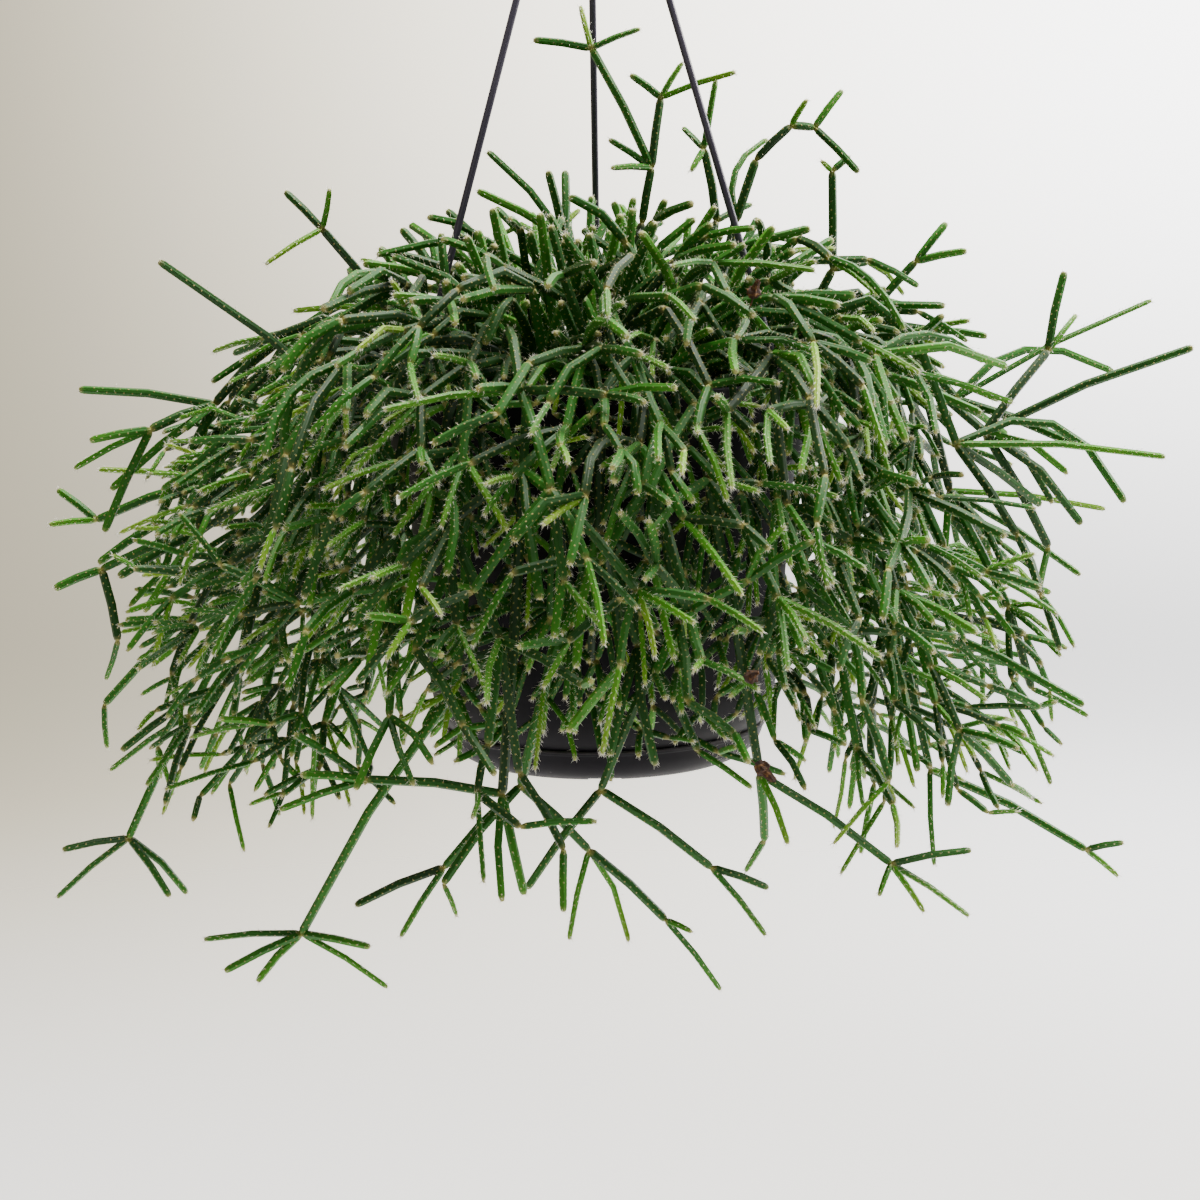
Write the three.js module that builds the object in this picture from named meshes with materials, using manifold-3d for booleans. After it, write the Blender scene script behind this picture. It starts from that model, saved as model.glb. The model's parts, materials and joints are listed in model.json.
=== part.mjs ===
// A hairy-stemmed rhipsalis in a dark plastic hanging pot with a clip-on saucer and a
// moulded three-strand hanger. Millimetres, +Z up. The origin is the top of the hook's
// inside, where the hanger rests on its peg. Heights in the code are measured from the
// pot's rim, and one group lowers everything by the length of the hanger.
import * as THREE from 'three';
import { mergeVertices } from 'three/addons/utils/BufferGeometryUtils.js';
import Module from 'manifold-3d';

const wasm = await Module();
wasm.setup();

// Pot
const hangerDrop = 375;
const rimRadius = 104.5;
const rimThickness = 2.2;
const skirtHeight = 38;
const skirtWall = 2;
const wallThickness = 2;
const wallTopRadius = 98.5;
const potBottom = -178;
const standRingRadius = 60;
const standRingWall = 2.5;
const drainHoleRadius = 4.5;
const drainHoleCircle = 38;
const drainHoleCount = 6;

// Saucer
const saucerBottom = -190;
const saucerRimHeight = -174.5;
const saucerRimRadius = 79.6;
const saucerFloorRadius = 68;
const saucerWall = 2;
const footNotchCount = 3;

// Soil
const soilTop = -12;
const soilGap = 0.35;

// Hanger
const hookInnerRadius = 11;
const hookThickness = 5;
const hookStart = -90;
const hookEnd = 205;
const hookPieces = 14;
const hubHeight = 300;
const hubRadius = 12.5;
const strandRadius = 1.8;
const strandCircle = 4.8;
const footCircle = 100.2;
const footWidth = 5;
const collarHeight = 3;
const barbWidth = 7.6;
const barbHeight = 3;
const slotClearance = 0.35;
const strandAngles = [90, 210, 330];

// Plant
const seedStart = 20617;
const rootCount = 42;
const rootDiscRadius = 84;
const rootDepth = 20;
const stubHeight = 4;
const stubRadius = 3.7;
const stemTotal = 1210;
const leastRoom = 11.5;
const thinBelow = -40;
const turnCost = 26;
const outwardGain = 18;
const leastOutward = 0.35;
const steepDown = -0.45;
const hangBelow = -20;
const hangGain = 0.55;
const hangWithin = 148;
const leastSpread = 0.4;
const mostDraws = 60000;
const wholeBush = [-252, 252, -252, 252, -245, 93];
const crown = [-125, 125, -125, 125, 5, 93];
const frontSide = [-150, 150, -235, -90, -120, 75];
const fillZones = [wholeBush, frontSide, crown, wholeBush, wholeBush, frontSide, wholeBush];
const mostJoints = 5;
const mostChildren = 4;
const mostShoots = 5;
const bushHeart = -50;
const trailingCount = 20;
const trailingReach = 152;
const shootReach = [30, 112, 80];
const stemReach = [null, [34, 74, 62], [26, 58, 56], [15, 40, 56]];
const collarBelow = 0.9;
const collarAbove = 0.8;
const collarTaper = 0.8;
const tipTaper = 0.5;
const holeClearance = 0.4;
const gapBetweenStems = 0.8;
const leastFork = 27;
const stemRadius = [3, 2.85, 2.65, 2.4];
const bushCentre = -95;
const bushRadius = 252;
const bushHeight = 188;
const bushDepth = 150;

const radians = (degrees) => degrees * Math.PI / 180;

// Vectors as plain arrays
const add = (a, b) => [a[0] + b[0], a[1] + b[1], a[2] + b[2]];
const sub = (a, b) => [a[0] - b[0], a[1] - b[1], a[2] - b[2]];
const mul = (a, k) => [a[0] * k, a[1] * k, a[2] * k];
const dot = (a, b) => a[0] * b[0] + a[1] * b[1] + a[2] * b[2];
const size = (a) => Math.sqrt(dot(a, a));
const unit = (a) => mul(a, 1 / size(a));
const cross = (a, b) => [
  a[1] * b[2] - a[2] * b[1],
  a[2] * b[0] - a[0] * b[2],
  a[0] * b[1] - a[1] * b[0],
];

// Seeded random draws
let seed = seedStart;
function draw(low, high) {
  seed = (seed * 1664525 + 1013904223) % 4294967296;
  return low + (high - low) * seed / 4294967296;
}

// The pot's outside, from the rim down: radius against height
const potOutline = [
  [rimRadius, 0],
  [rimRadius, -skirtHeight],
  [wallTopRadius, -skirtHeight],
  [91.5, -115],
  [88, -152],
  [84.5, -162],
  [77, -174.5],
];

function outsideRadius(z) {
  if (z > saucerRimHeight + 1) {
    for (let i = 1; i < potOutline.length; i += 1) {
      const [r0, z0] = potOutline[i - 1];
      const [r1, z1] = potOutline[i];
      if (z >= z1) {
        return z0 === z1 ? r0 : r0 + (r1 - r0) * (z0 - z) / (z0 - z1);
      }
    }
  }
  return saucerRimRadius;
}

// Where the three strands run, as straight lines with a radius
const strandLines = strandAngles.map((angle) => {
  const c = Math.cos(radians(angle));
  const s = Math.sin(radians(angle));
  return [
    [footCircle * c, footCircle * s, -10],
    [strandCircle * c, strandCircle * s, hubHeight],
  ];
});
const strandReach = 4.4;

// Shortest distance between two straight pieces
function lineGap(p1, q1, p2, q2) {
  const d1 = sub(q1, p1);
  const d2 = sub(q2, p2);
  const r = sub(p1, p2);
  const a = dot(d1, d1);
  const e = dot(d2, d2);
  const f = dot(d2, r);
  const c = dot(d1, r);
  const b = dot(d1, d2);
  const det = a * e - b * b;
  const share = (top, bottom) => (bottom > 1e-9 ? Math.min(1, Math.max(0, top / bottom)) : 0);
  let s = share(b * f - c * e, det);
  let t = (b * s + f) / e;
  if (t < 0) {
    t = 0;
    s = share(-c, a);
  } else if (t > 1) {
    t = 1;
    s = share(b - c, a);
  }
  return size(sub(add(p1, mul(d1, s)), add(p2, mul(d2, t))));
}

// A stem is a gently bowed line from start to end. Long or bent ones take more pieces.
function pointOn(stem, t) {
  const along = add(stem.start, mul(sub(stem.end, stem.start), t));
  return add(along, mul(stem.bow, 4 * t * (1 - t)));
}
function endHeading(stem) {
  return unit(sub(sub(stem.end, stem.start), mul(stem.bow, 4)));
}
function startHeading(stem) {
  return unit(add(sub(stem.end, stem.start), mul(stem.bow, 4)));
}
function pieceCount(stem) {
  const bend = size(stem.bow);
  return bend < 3 ? 1 : bend < 9 ? 2 : bend < 20 ? 3 : 4;
}
function stemPoints(stem) {
  const count = pieceCount(stem);
  const points = [];
  for (let i = 0; i <= count; i += 1) {
    points.push(pointOn(stem, i / count));
  }
  return points;
}

// Clear of the pot, the saucer, the soil and the hanger
function clearOfPot(points, radius) {
  for (let i = 1; i < points.length; i += 1) {
    const steps = 1 + Math.floor(size(sub(points[i], points[i - 1])) / 3);
    for (let k = 0; k <= steps; k += 1) {
      const p = add(points[i - 1], mul(sub(points[i], points[i - 1]), k / steps));
      const away = Math.hypot(p[0], p[1]);
      const inside = away < wallTopRadius - wallThickness - radius - 1.5;
      const overSoil = inside && p[2] > soilTop + stubHeight - 0.5;
      const overRim = p[2] > radius + 1.2;
      const beside = away > outsideRadius(p[2] + radius + 1) + radius + 1.2
        && away > outsideRadius(p[2] - radius - 1) + radius + 1.2;
      const under = p[2] < saucerBottom - 12;
      if (!overSoil && !overRim && !beside && !under) {
        return false;
      }
    }
    for (const [low, high] of strandLines) {
      if (lineGap(points[i - 1], points[i], low, high) < radius + strandReach) {
        return false;
      }
    }
  }
  return true;
}

// Clear of every stem already grown, save the one it grows from and its twins
const stems = [];
function clearOfStems(points, radius, spray, parent) {
  for (let i = 1; i < points.length; i += 1) {
    const a = points[i - 1];
    const b = points[i];
    const middle = mul(add(a, b), 0.5);
    const half = size(sub(a, b)) / 2;
    for (const other of stems) {
      const family = other === parent || (other.spray === spray && other.parent === parent);
      if (family || size(sub(middle, other.middle)) > half + other.reach + 8) {
        continue;
      }
      const room = radius + other.radius + gapBetweenStems;
      for (let k = 1; k < other.points.length; k += 1) {
        if (lineGap(a, b, other.points[k - 1], other.points[k]) < room) {
          return false;
        }
      }
    }
  }
  return true;
}

function insideBush(p, slack) {
  const out = Math.hypot(p[0], p[1]) / (bushRadius * slack);
  const up = p[2] - bushCentre;
  if (up > 0) {
    return out ** 2 + (up / (bushHeight * slack)) ** 2 < 1;
  }
  return out ** 4 + (-up / (bushDepth * slack)) ** 4 < 1;
}

function newStem(spray, order, parent, start, end, bow) {
  const stem = { spray, order, parent, start, end, bow, radius: stemRadius[order] };
  stem.points = stemPoints(stem);
  stem.middle = mul(add(start, end), 0.5);
  stem.reach = size(sub(start, end)) / 2 + size(bow);
  stem.heading = startHeading(stem);
  stem.tail = endHeading(stem);
  stem.depth = parent === null ? 0 : parent.depth + 1;
  stem.ends = false;
  return stem;
}
function apartFromTwins(stem) {
  return stems.every((other) => other.spray !== stem.spray || other.parent !== stem.parent
    || dot(other.heading, stem.heading) < Math.cos(radians(leastFork)));
}
function fits(stem) {
  return apartFromTwins(stem) && clearOfPot(stem.points, stem.radius)
    && clearOfStems(stem.points, stem.radius, stem.spray, stem.parent);
}

// How far a place is from every stem that is there already
function openness(p) {
  let nearest = 1e9;
  for (const { end, middle } of stems) {
    nearest = Math.min(
      nearest,
      Math.hypot(p[0] - end[0], p[1] - end[1], p[2] - end[2]),
      Math.hypot(p[0] - middle[0], p[1] - middle[1], p[2] - middle[2]),
    );
  }
  return nearest;
}

// Each spray roots in a short upright stub, at a sunflower spacing over the soil
const stubs = [];
for (let i = 0; i < rootCount; i += 1) {
  const out = rootDiscRadius * Math.sqrt((i + 0.5) / rootCount);
  const turn = radians(137.508 * i);
  const foot = [out * Math.cos(turn), out * Math.sin(turn), soilTop];
  stubs.push({ foot, top: add(foot, [0, 0, stubHeight]), taken: false });
}
function takeStub(x, y) {
  let best = null;
  for (const stub of stubs) {
    const away = Math.hypot(stub.foot[0] - x, stub.foot[1] - y);
    if (!stub.taken && (best === null || away < best.away)) {
      best = { stub, away };
    }
  }
  best.stub.taken = true;
  return stubs.indexOf(best.stub);
}

function nearestStubs(p) {
  const inwards = 74 / Math.hypot(p[0], p[1]);
  const gap = (stub) => Math.hypot(stub.foot[0] - p[0] * inwards, stub.foot[1] - p[1] * inwards);
  return stubs.slice().sort((one, two) => gap(one) - gap(two)).slice(0, 4);
}

// Shoots that stand out of the bush: each joint, then what grows on from it
const standingOut = [
  [103, 24, 18, [119, 18, 51, [118, 10, 100, [112, 4, 105], [127, 12, 107]], [138, 30, 54]]],
  [138, 48, 22, [163, 34, 54, [179, 38, 73], [188, 28, 59]], [175, 50, 18]],
  [23, 12, 76, [28, 8, 103, [-1, 0, 161, [-29, -8, 165], [-6, 8, 182], [23, 0, 170]],
    [33, 8, 137, [18, 0, 148], [44, 8, 154], [69, -10, 148]], [7, 0, 117], [8, -10, 103]]],
  [61, 30, 76, [55, 28, 112, [48, 20, 101], [61, 22, 146], [45, 40, 123]], [80, 45, 84]],
  [69, -4, 76, [79, -8, 106, [96, -10, 122, [108, -4, 121, [122, 0, 139], [129, -10, 99]],
    [103, -20, 134]]], [86, 14, 116]],
  [-13, -10, 39, [-16, -12, 70, [-58, -12, 93], [-53, 0, 112], [-23, -20, 102], [-15, 4, 102]]],
  [-78, -30, 15, [-103, -34, 38, [-132, -36, 76, [-150, -30, 94], [-127, -44, 95],
    [-158, -50, 60]]]],
  [-111, -70, -13, [-203, -84, 63], [-160, -110, -18]],
  [-191, -10, -10, [-257, -16, -1], [-220, -30, -20, [-248, -40, -24], [-259, -26, -39]]],
  [-202, 20, -51, [-259, 22, -71, [-282, 14, -72], [-280, 30, -56]], [-262, 50, -48]],
  [-198, -30, -70, [-246, -36, -88, [-268, -44, -96], [-239, -40, -123]]],
  [-158, 42, -30, [-184, 40, -95, [-264, 44, -172, [-264, 46, -196]], [-243, 70, -131]]],
  [-148, 0, -50, [-178, 0, -110, [-211, -6, -168, [-244, -10, -231, [-276, -20, -234],
    [-283, -6, -263], [-223, -18, -260], [-217, -2, -263]], [-255, 6, -199]]]],
  [-60, -135, -52, [-68, -132, -132, [-144, -116, -251, [-191, -110, -255], [-179, -128, -265],
    [-165, -120, -273], [-111, -126, -255], [-105, -110, -280]]]],
  [-34, -150, -30, [-46, -166, -173, [-106, -172, -164, [-136, -180, -141],
    [-133, -186, -158], [-144, -176, -176]]]],
  [-1, -140, -60, [-39, -125, -179, [-76, -116, -220, [-119, -108, -240], [-97, -120, -252]],
    [-8, -112, -214, [28, -100, -252, [54, -94, -289], [40, -110, -255]], [10, -104, -261],
      [-18, -116, -256]]]],
  [48, -146, -36, [72, -118, -177, [135, -104, -225, [150, -110, -247], [173, -98, -253],
    [128, -116, -237]]]],
  [24, -142, -34, [34, -148, -100, [-2, -132, -180, [49, -120, -221, [76, -114, -233],
    [74, -124, -253]], [-37, -126, -228]]]],
  [142, -20, -30, [144, -20, -112, [165, -16, -200, [246, -10, -245, [264, -16, -240],
    [264, -4, -261]], [167, -20, -249]]]],
  [189, -30, -28, [287, -44, 13], [224, -6, 10, [232, -4, 49], [240, 6, 27]]],
  [184, 36, -17, [285, 40, 32], [270, 60, -6]],
  [170, -64, -30, [271, -60, -38], [254, -50, -61]],
  [176, 0, -60, [254, -4, -70], [244, 6, -105]],
  [156, 62, -30, [173, 50, -103, [238, 56, -122], [239, 48, -146]]],
  [131, -60, -65, [151, -60, -115, [233, -64, -158], [219, -56, -199]]],
  [-34, -166, 7, [-91, -196, 2], [3, -186, 6], [-21, -204, -32, [-55, -206, -75],
    [-16, -212, -70], [15, -204, -76]]],
  [17, -160, -18, [38, -182, -89, [8, -194, -81], [23, -200, -66], [63, -188, -75]]],
  [-75, -140, -40, [-45, -176, -101, [-38, -172, -162], [-51, -184, -146]]],
];

// A stem between two given places, arched up and swayed just enough to be clear
function reachTo(spray, order, parent, start, end, steepest) {
  const triesAllowed = order === 0 || steepest > 0.3 ? 36 : 8;
  const chord = sub(end, start);
  const long = size(chord);
  const flat = Math.hypot(chord[0], chord[1]) / long;
  const side = unit(cross(chord, [0.01, 0.02, 1]));
  const lift = unit(cross(side, chord));
  for (let tries = 0; tries < triesAllowed; tries += 1) {
    const arch = 0.03 + (steepest - 0.03) * (tries % 12) / 11;
    const sway = draw(-1, 1) * (0.04 + 0.008 * tries);
    const bow = add(mul(lift, arch * (0.3 + 0.7 * flat) * long), mul(side, sway * long));
    const stem = newStem(spray, order, parent, start, end, bow);
    if (fits(stem)) {
      stems.push(stem);
      return stem;
    }
  }
  return null;
}
function growGiven(spray, order, parent, start, joint) {
  const next = joint.slice(3);
  const rank = next.length === 0 ? Math.min(3, Math.max(2, order)) : Math.min(2, order);
  const stem = reachTo(spray, rank, parent, start, joint.slice(0, 3), order === 0 ? 0.56 : 0.31);
  if (stem === null) {
    return false;
  }
  stem.ends = next.length === 0;
  for (const child of next) {
    growGiven(spray, order + 1, stem, stem.end, child);
  }
  return true;
}
for (const joint of standingOut) {
  const out = Math.hypot(joint[0], joint[1]);
  const inwards = Math.min(0.6, 74 / out);
  let grown = false;
  for (let tries = 0; tries < 3 && !grown; tries += 1) {
    const spray = takeStub(joint[0] * inwards, joint[1] * inwards);
    grown = growGiven(spray, 0, null, stubs[spray].top, joint);
  }
}

// Trailing shoots all round the rim, wherever none hangs yet
for (let i = 0; i < trailingCount; i += 1) {
  const turn = radians(360 * (i + draw(-0.25, 0.25)) / trailingCount);
  const hang = (out, z) => [out * Math.cos(turn), out * Math.sin(turn), z];
  const first = hang(trailingReach - 20, draw(-35, -15));
  const second = hang(trailingReach + draw(-10, 15), draw(-110, -80));
  if (openness(first) > 22 && openness(second) > 32) {
    const third = hang(trailingReach + draw(10, 45), draw(-165, -135));
    for (const stub of nearestStubs(first)) {
      if (growGiven(stubs.indexOf(stub), 0, null, stub.top, [...first, [...second, third]])) {
        break;
      }
    }
  }
}
for (const stem of stems) {
  stem.ends = stem.ends && stem.order === 3;
}

// The rest of the bush fills evenly. Each empty place draws a new stem from the joint that
// reaches it best, so whorls of two to four stems form wherever there is room round a joint.
function childCount(joint) {
  return stems.filter((stem) => stem.spray === joint.spray && stem.parent === joint.parent).length;
}
const outward = (p) => unit([p[0], p[1], (p[2] - bushHeart) * 0.8]);
function reachingJoints(place) {
  const found = [];
  const weigh = (joint, way, least, most, widest) => {
    const offset = sub(place, joint.from);
    const far = size(offset);
    if (far < least || far > most) {
      return;
    }
    const angle = Math.acos(dot(offset, way) / far);
    const outwards = dot(offset, outward(joint.from)) / far;
    const away = Math.hypot(joint.from[0], joint.from[1]);
    const radial = (offset[0] * joint.from[0] + offset[1] * joint.from[1]) / (away * far);
    const hangs = offset[2] / far < steepDown && place[2] < hangBelow
      && (away < hangWithin || radial > leastSpread);
    if (angle < radians(widest) && (joint.order === 0 || outwards > leastOutward || hangs)) {
      const gain = hangs ? hangGain : outwards;
      found.push({ ...joint, cost: far + turnCost * angle - outwardGain * gain });
    }
  };
  stubs.forEach((stub, spray) => {
    weigh({ spray, parent: null, order: 0, from: stub.top }, [0, 0, 1], ...shootReach);
  });
  for (const stem of stems) {
    if (!stem.ends && stem.depth < mostJoints) {
      const order = Math.min(3, stem.order + 1);
      const joint = { spray: stem.spray, parent: stem, order, from: stem.end };
      weigh(joint, stem.tail, ...stemReach[order]);
    }
  }
  found.sort((a, b) => a.cost - b.cost);
  return found.slice(0, 4);
}
for (let n = 0; n < mostDraws && stems.length < stemTotal; n += 1) {
  const [west, east, south, north, floor, roof] = fillZones[n % fillZones.length];
  const x = draw(west, east);
  const y = draw(south, north);
  const z = draw(floor, roof);
  const place = [x, y, z];
  const low = Math.min(1, Math.max(0, (thinBelow - z) / 200));
  const room = leastRoom * (1 + 1.2 * low);
  if (!insideBush(place, 1) || openness(place) < room || !clearOfPot([place, place], 2)) {
    continue;
  }
  for (const joint of reachingJoints(place)) {
    if (childCount(joint) < (joint.parent ? mostChildren : mostShoots)
      && reachTo(joint.spray, joint.order, joint.parent, joint.from, place, 0.3)) {
      break;
    }
  }
}

const sprays = stubs
  .map((stub, spray) => ({ stub, own: stems.filter((stem) => stem.spray === spray) }))
  .filter(({ own }) => own.length > 0);

// Solids and geometries
function toSolid(geometry) {
  const bare = geometry.clone();
  bare.deleteAttribute('normal');
  bare.deleteAttribute('uv');
  const merged = mergeVertices(bare, 1e-4);
  return new wasm.Manifold(new wasm.Mesh({
    numProp: 3,
    vertProperties: new Float32Array(merged.attributes.position.array),
    triVerts: new Uint32Array(merged.index.array),
  }));
}
function toGeometry(solid) {
  const mesh = solid.getMesh();
  const corners = new THREE.BufferAttribute(new Float32Array(mesh.vertProperties), 3);
  const geometry = new THREE.BufferGeometry().setAttribute('position', corners);
  geometry.setIndex(new THREE.BufferAttribute(new Uint32Array(mesh.triVerts), 1));
  const flat = geometry.toNonIndexed();
  flat.computeVertexNormals();
  return flat;
}
const joinAll = (solids) => solids.reduce((whole, piece) => whole.add(piece));
const cutAll = (solid, cutters) => cutters.reduce((whole, piece) => whole.subtract(piece), solid);

// A profile of [radius, height] pairs, closed on itself, turned about Z
function turned(profile, segments) {
  const ring = profile.concat([profile[0]]).map(([r, z]) => new THREE.Vector2(r, z));
  return toSolid(new THREE.LatheGeometry(ring, segments).rotateX(Math.PI / 2));
}
function box(width, depth, height, centre, turn) {
  const geometry = new THREE.BoxGeometry(width, depth, height);
  geometry.translate(...centre);
  return toSolid(geometry.rotateZ(turn));
}
function post(radius, low, high, x, y, sides) {
  const geometry = new THREE.CylinderGeometry(radius, radius, high - low, sides);
  geometry.rotateX(Math.PI / 2);
  return toSolid(geometry.translate(x, y, (low + high) / 2));
}

// A few-sided rod through a row of points, each with its own radius
function rod(points, radii, sides) {
  const pieces = points.length - 1;
  const geometry = new THREE.CylinderGeometry(1, 1, pieces, sides, pieces);
  const corners = geometry.attributes.position;
  const ways = points.map((p, i) => {
    const before = i > 0 ? unit(sub(p, points[i - 1])) : null;
    const after = i < pieces ? unit(sub(points[i + 1], p)) : null;
    return unit(before && after ? add(before, after) : before || after);
  });
  let across = unit(cross(ways[0], Math.abs(ways[0][2]) > 0.9 ? [1, 0, 0] : [0, 0, 1]));
  const rings = ways.map((way) => {
    across = unit(sub(across, mul(way, dot(across, way))));
    return [across, cross(way, across)];
  });
  for (let i = 0; i < corners.count; i += 1) {
    const ring = Math.round(corners.getY(i) + pieces / 2);
    const [u, v] = rings[ring];
    const offset = add(mul(v, corners.getX(i) * radii[ring]), mul(u, corners.getZ(i) * radii[ring]));
    corners.setXYZ(i, ...add(points[ring], offset));
  }
  return toSolid(geometry);
}

// Pot: wall with a hanging skirt round the rim, round foot, drain holes and a standing ring
const innerWallTop = wallTopRadius - wallThickness;
const innerOutline = [
  [innerWallTop, 0],
  [91.5 - wallThickness, -115],
  [88 - wallThickness, -152],
  [84.5 - wallThickness, -161],
  [77 - wallThickness, -172.5],
];
const floorTop = potBottom + 2.6;
const potProfile = [
  [rimRadius, 0],
  ...innerOutline,
  [70, floorTop],
  [0, floorTop],
  [0, potBottom],
  [standRingRadius - standRingWall, potBottom],
  [standRingRadius - standRingWall, saucerBottom + saucerWall + 0.3],
  [standRingRadius, saucerBottom + saucerWall + 0.3],
  [standRingRadius, potBottom],
  [71, potBottom],
  ...potOutline.slice(3).reverse(),
  [wallTopRadius, -skirtHeight],
  [wallTopRadius, -rimThickness],
  [rimRadius - skirtWall, -rimThickness],
  [rimRadius - skirtWall, -skirtHeight],
  [rimRadius, -skirtHeight],
];
const fullTurn = 32;
const slots = strandAngles.map((angle) => box(
  2.2 + 2 * slotClearance,
  footWidth + 2 * slotClearance,
  8,
  [footCircle, 0, -1],
  radians(angle),
));
const drains = [];
for (let i = 0; i < drainHoleCount; i += 1) {
  const turn = radians(360 * i / drainHoleCount);
  const x = drainHoleCircle * Math.cos(turn);
  const y = drainHoleCircle * Math.sin(turn);
  drains.push(post(drainHoleRadius, potBottom - 2, floorTop + 2, x, y, 12));
}
const potSolid = cutAll(turned(potProfile, fullTurn), [...slots, ...drains]);

// Saucer: a shallow bowl that follows the round foot of the pot, with three foot notches
const saucerProfile = [
  [0, saucerBottom],
  [saucerFloorRadius + 1.5, saucerBottom],
  [74, saucerBottom + 5],
  [saucerRimRadius, saucerRimHeight - 2.5],
  [saucerRimRadius, saucerRimHeight],
  [saucerRimRadius - saucerWall, saucerRimHeight],
  [saucerRimRadius - saucerWall, saucerRimHeight - 2],
  [71.6, saucerBottom + 6],
  [saucerFloorRadius - 3, saucerBottom + saucerWall],
  [0, saucerBottom + saucerWall],
];
const notches = [];
for (let i = 0; i < footNotchCount; i += 1) {
  const turn = radians(30 + 360 * i / footNotchCount);
  notches.push(box(6, 16, 2, [saucerFloorRadius + 1, 0, saucerBottom], turn));
}
const saucerSolid = cutAll(turned(saucerProfile, fullTurn), notches);

// Soil: the inside of the pot filled, with a plain hole for each spray
const soilProfile = [
  [0, floorTop + soilGap],
  [70 - soilGap, floorTop + soilGap],
  ...innerOutline.slice(1).reverse().map(([r, z]) => [r - soilGap, z + soilGap * 0.5]),
  [innerWallTop + (innerOutline[1][0] - innerWallTop) * (soilTop - 4) / -115 - soilGap, soilTop - 4],
  [innerWallTop - 8, soilTop],
  [0, soilTop],
];
const rootHoles = sprays.map(({ stub }) => post(
  (stubRadius + holeClearance) / Math.cos(Math.PI / 6),
  soilTop - rootDepth - 0.3,
  soilTop + 5,
  stub.foot[0],
  stub.foot[1],
  6,
));
const soilSolid = cutAll(turned(soilProfile, fullTurn), rootHoles);

// Hanger: an open hook over a conical hub, and three strands plugged into the hub. Each
// strand's foot passes a slot in the rim and holds it with a barb below and a collar above.
const hookRadius = hookInnerRadius + hookThickness / 2;
const hookCentre = hangerDrop - hookInnerRadius;
const hookPath = [];
for (let i = 0; i <= hookPieces; i += 1) {
  const turn = radians(hookStart + (hookEnd - hookStart) * i / hookPieces);
  hookPath.push([hookRadius * Math.cos(turn), 0, hookCentre + hookRadius * Math.sin(turn)]);
}
const strandEnds = strandAngles.map((angle) => {
  const out = [Math.cos(radians(angle)), Math.sin(radians(angle)), 0];
  return [
    add(mul(out, footCircle), [0, 0, collarHeight - 0.5]),
    add(mul(out, strandCircle), [0, 0, hubHeight]),
  ];
});
const even = (points, radius) => points.map(() => radius);
const hookSolid = cutAll(
  joinAll([
    rod([[0, 0, hubHeight - 10], [0, 0, hubHeight + 14]], [hubRadius, hubRadius * 0.5], 12),
    rod([[0, 0, hubHeight + 8], [0, 0, hookCentre - hookRadius]], [3.4, 2.9], 8),
    rod(hookPath, even(hookPath, hookThickness / 2), 8),
  ]),
  strandEnds.map((ends) => {
    const past = add(ends[1], mul(unit(sub(ends[1], ends[0])), 0.4));
    return rod([ends[0], past], even(ends, strandRadius + 0.45), 6);
  }),
);
const strandSolids = strandEnds.map((ends, i) => {
  const turn = radians(strandAngles[i]);
  const barbTop = -rimThickness - 0.3;
  return joinAll([
    rod(ends, even(ends, strandRadius), 6),
    box(2.2, footWidth, collarHeight - barbTop + 1, [footCircle, 0, (collarHeight + barbTop - 1) / 2], turn),
    box(3.4, barbWidth, collarHeight - 0.3, [footCircle, 0, (collarHeight + 0.3) / 2], turn),
    box(2.2, barbWidth, barbHeight, [footCircle, 0, barbTop - barbHeight / 2], turn),
  ]);
});

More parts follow.
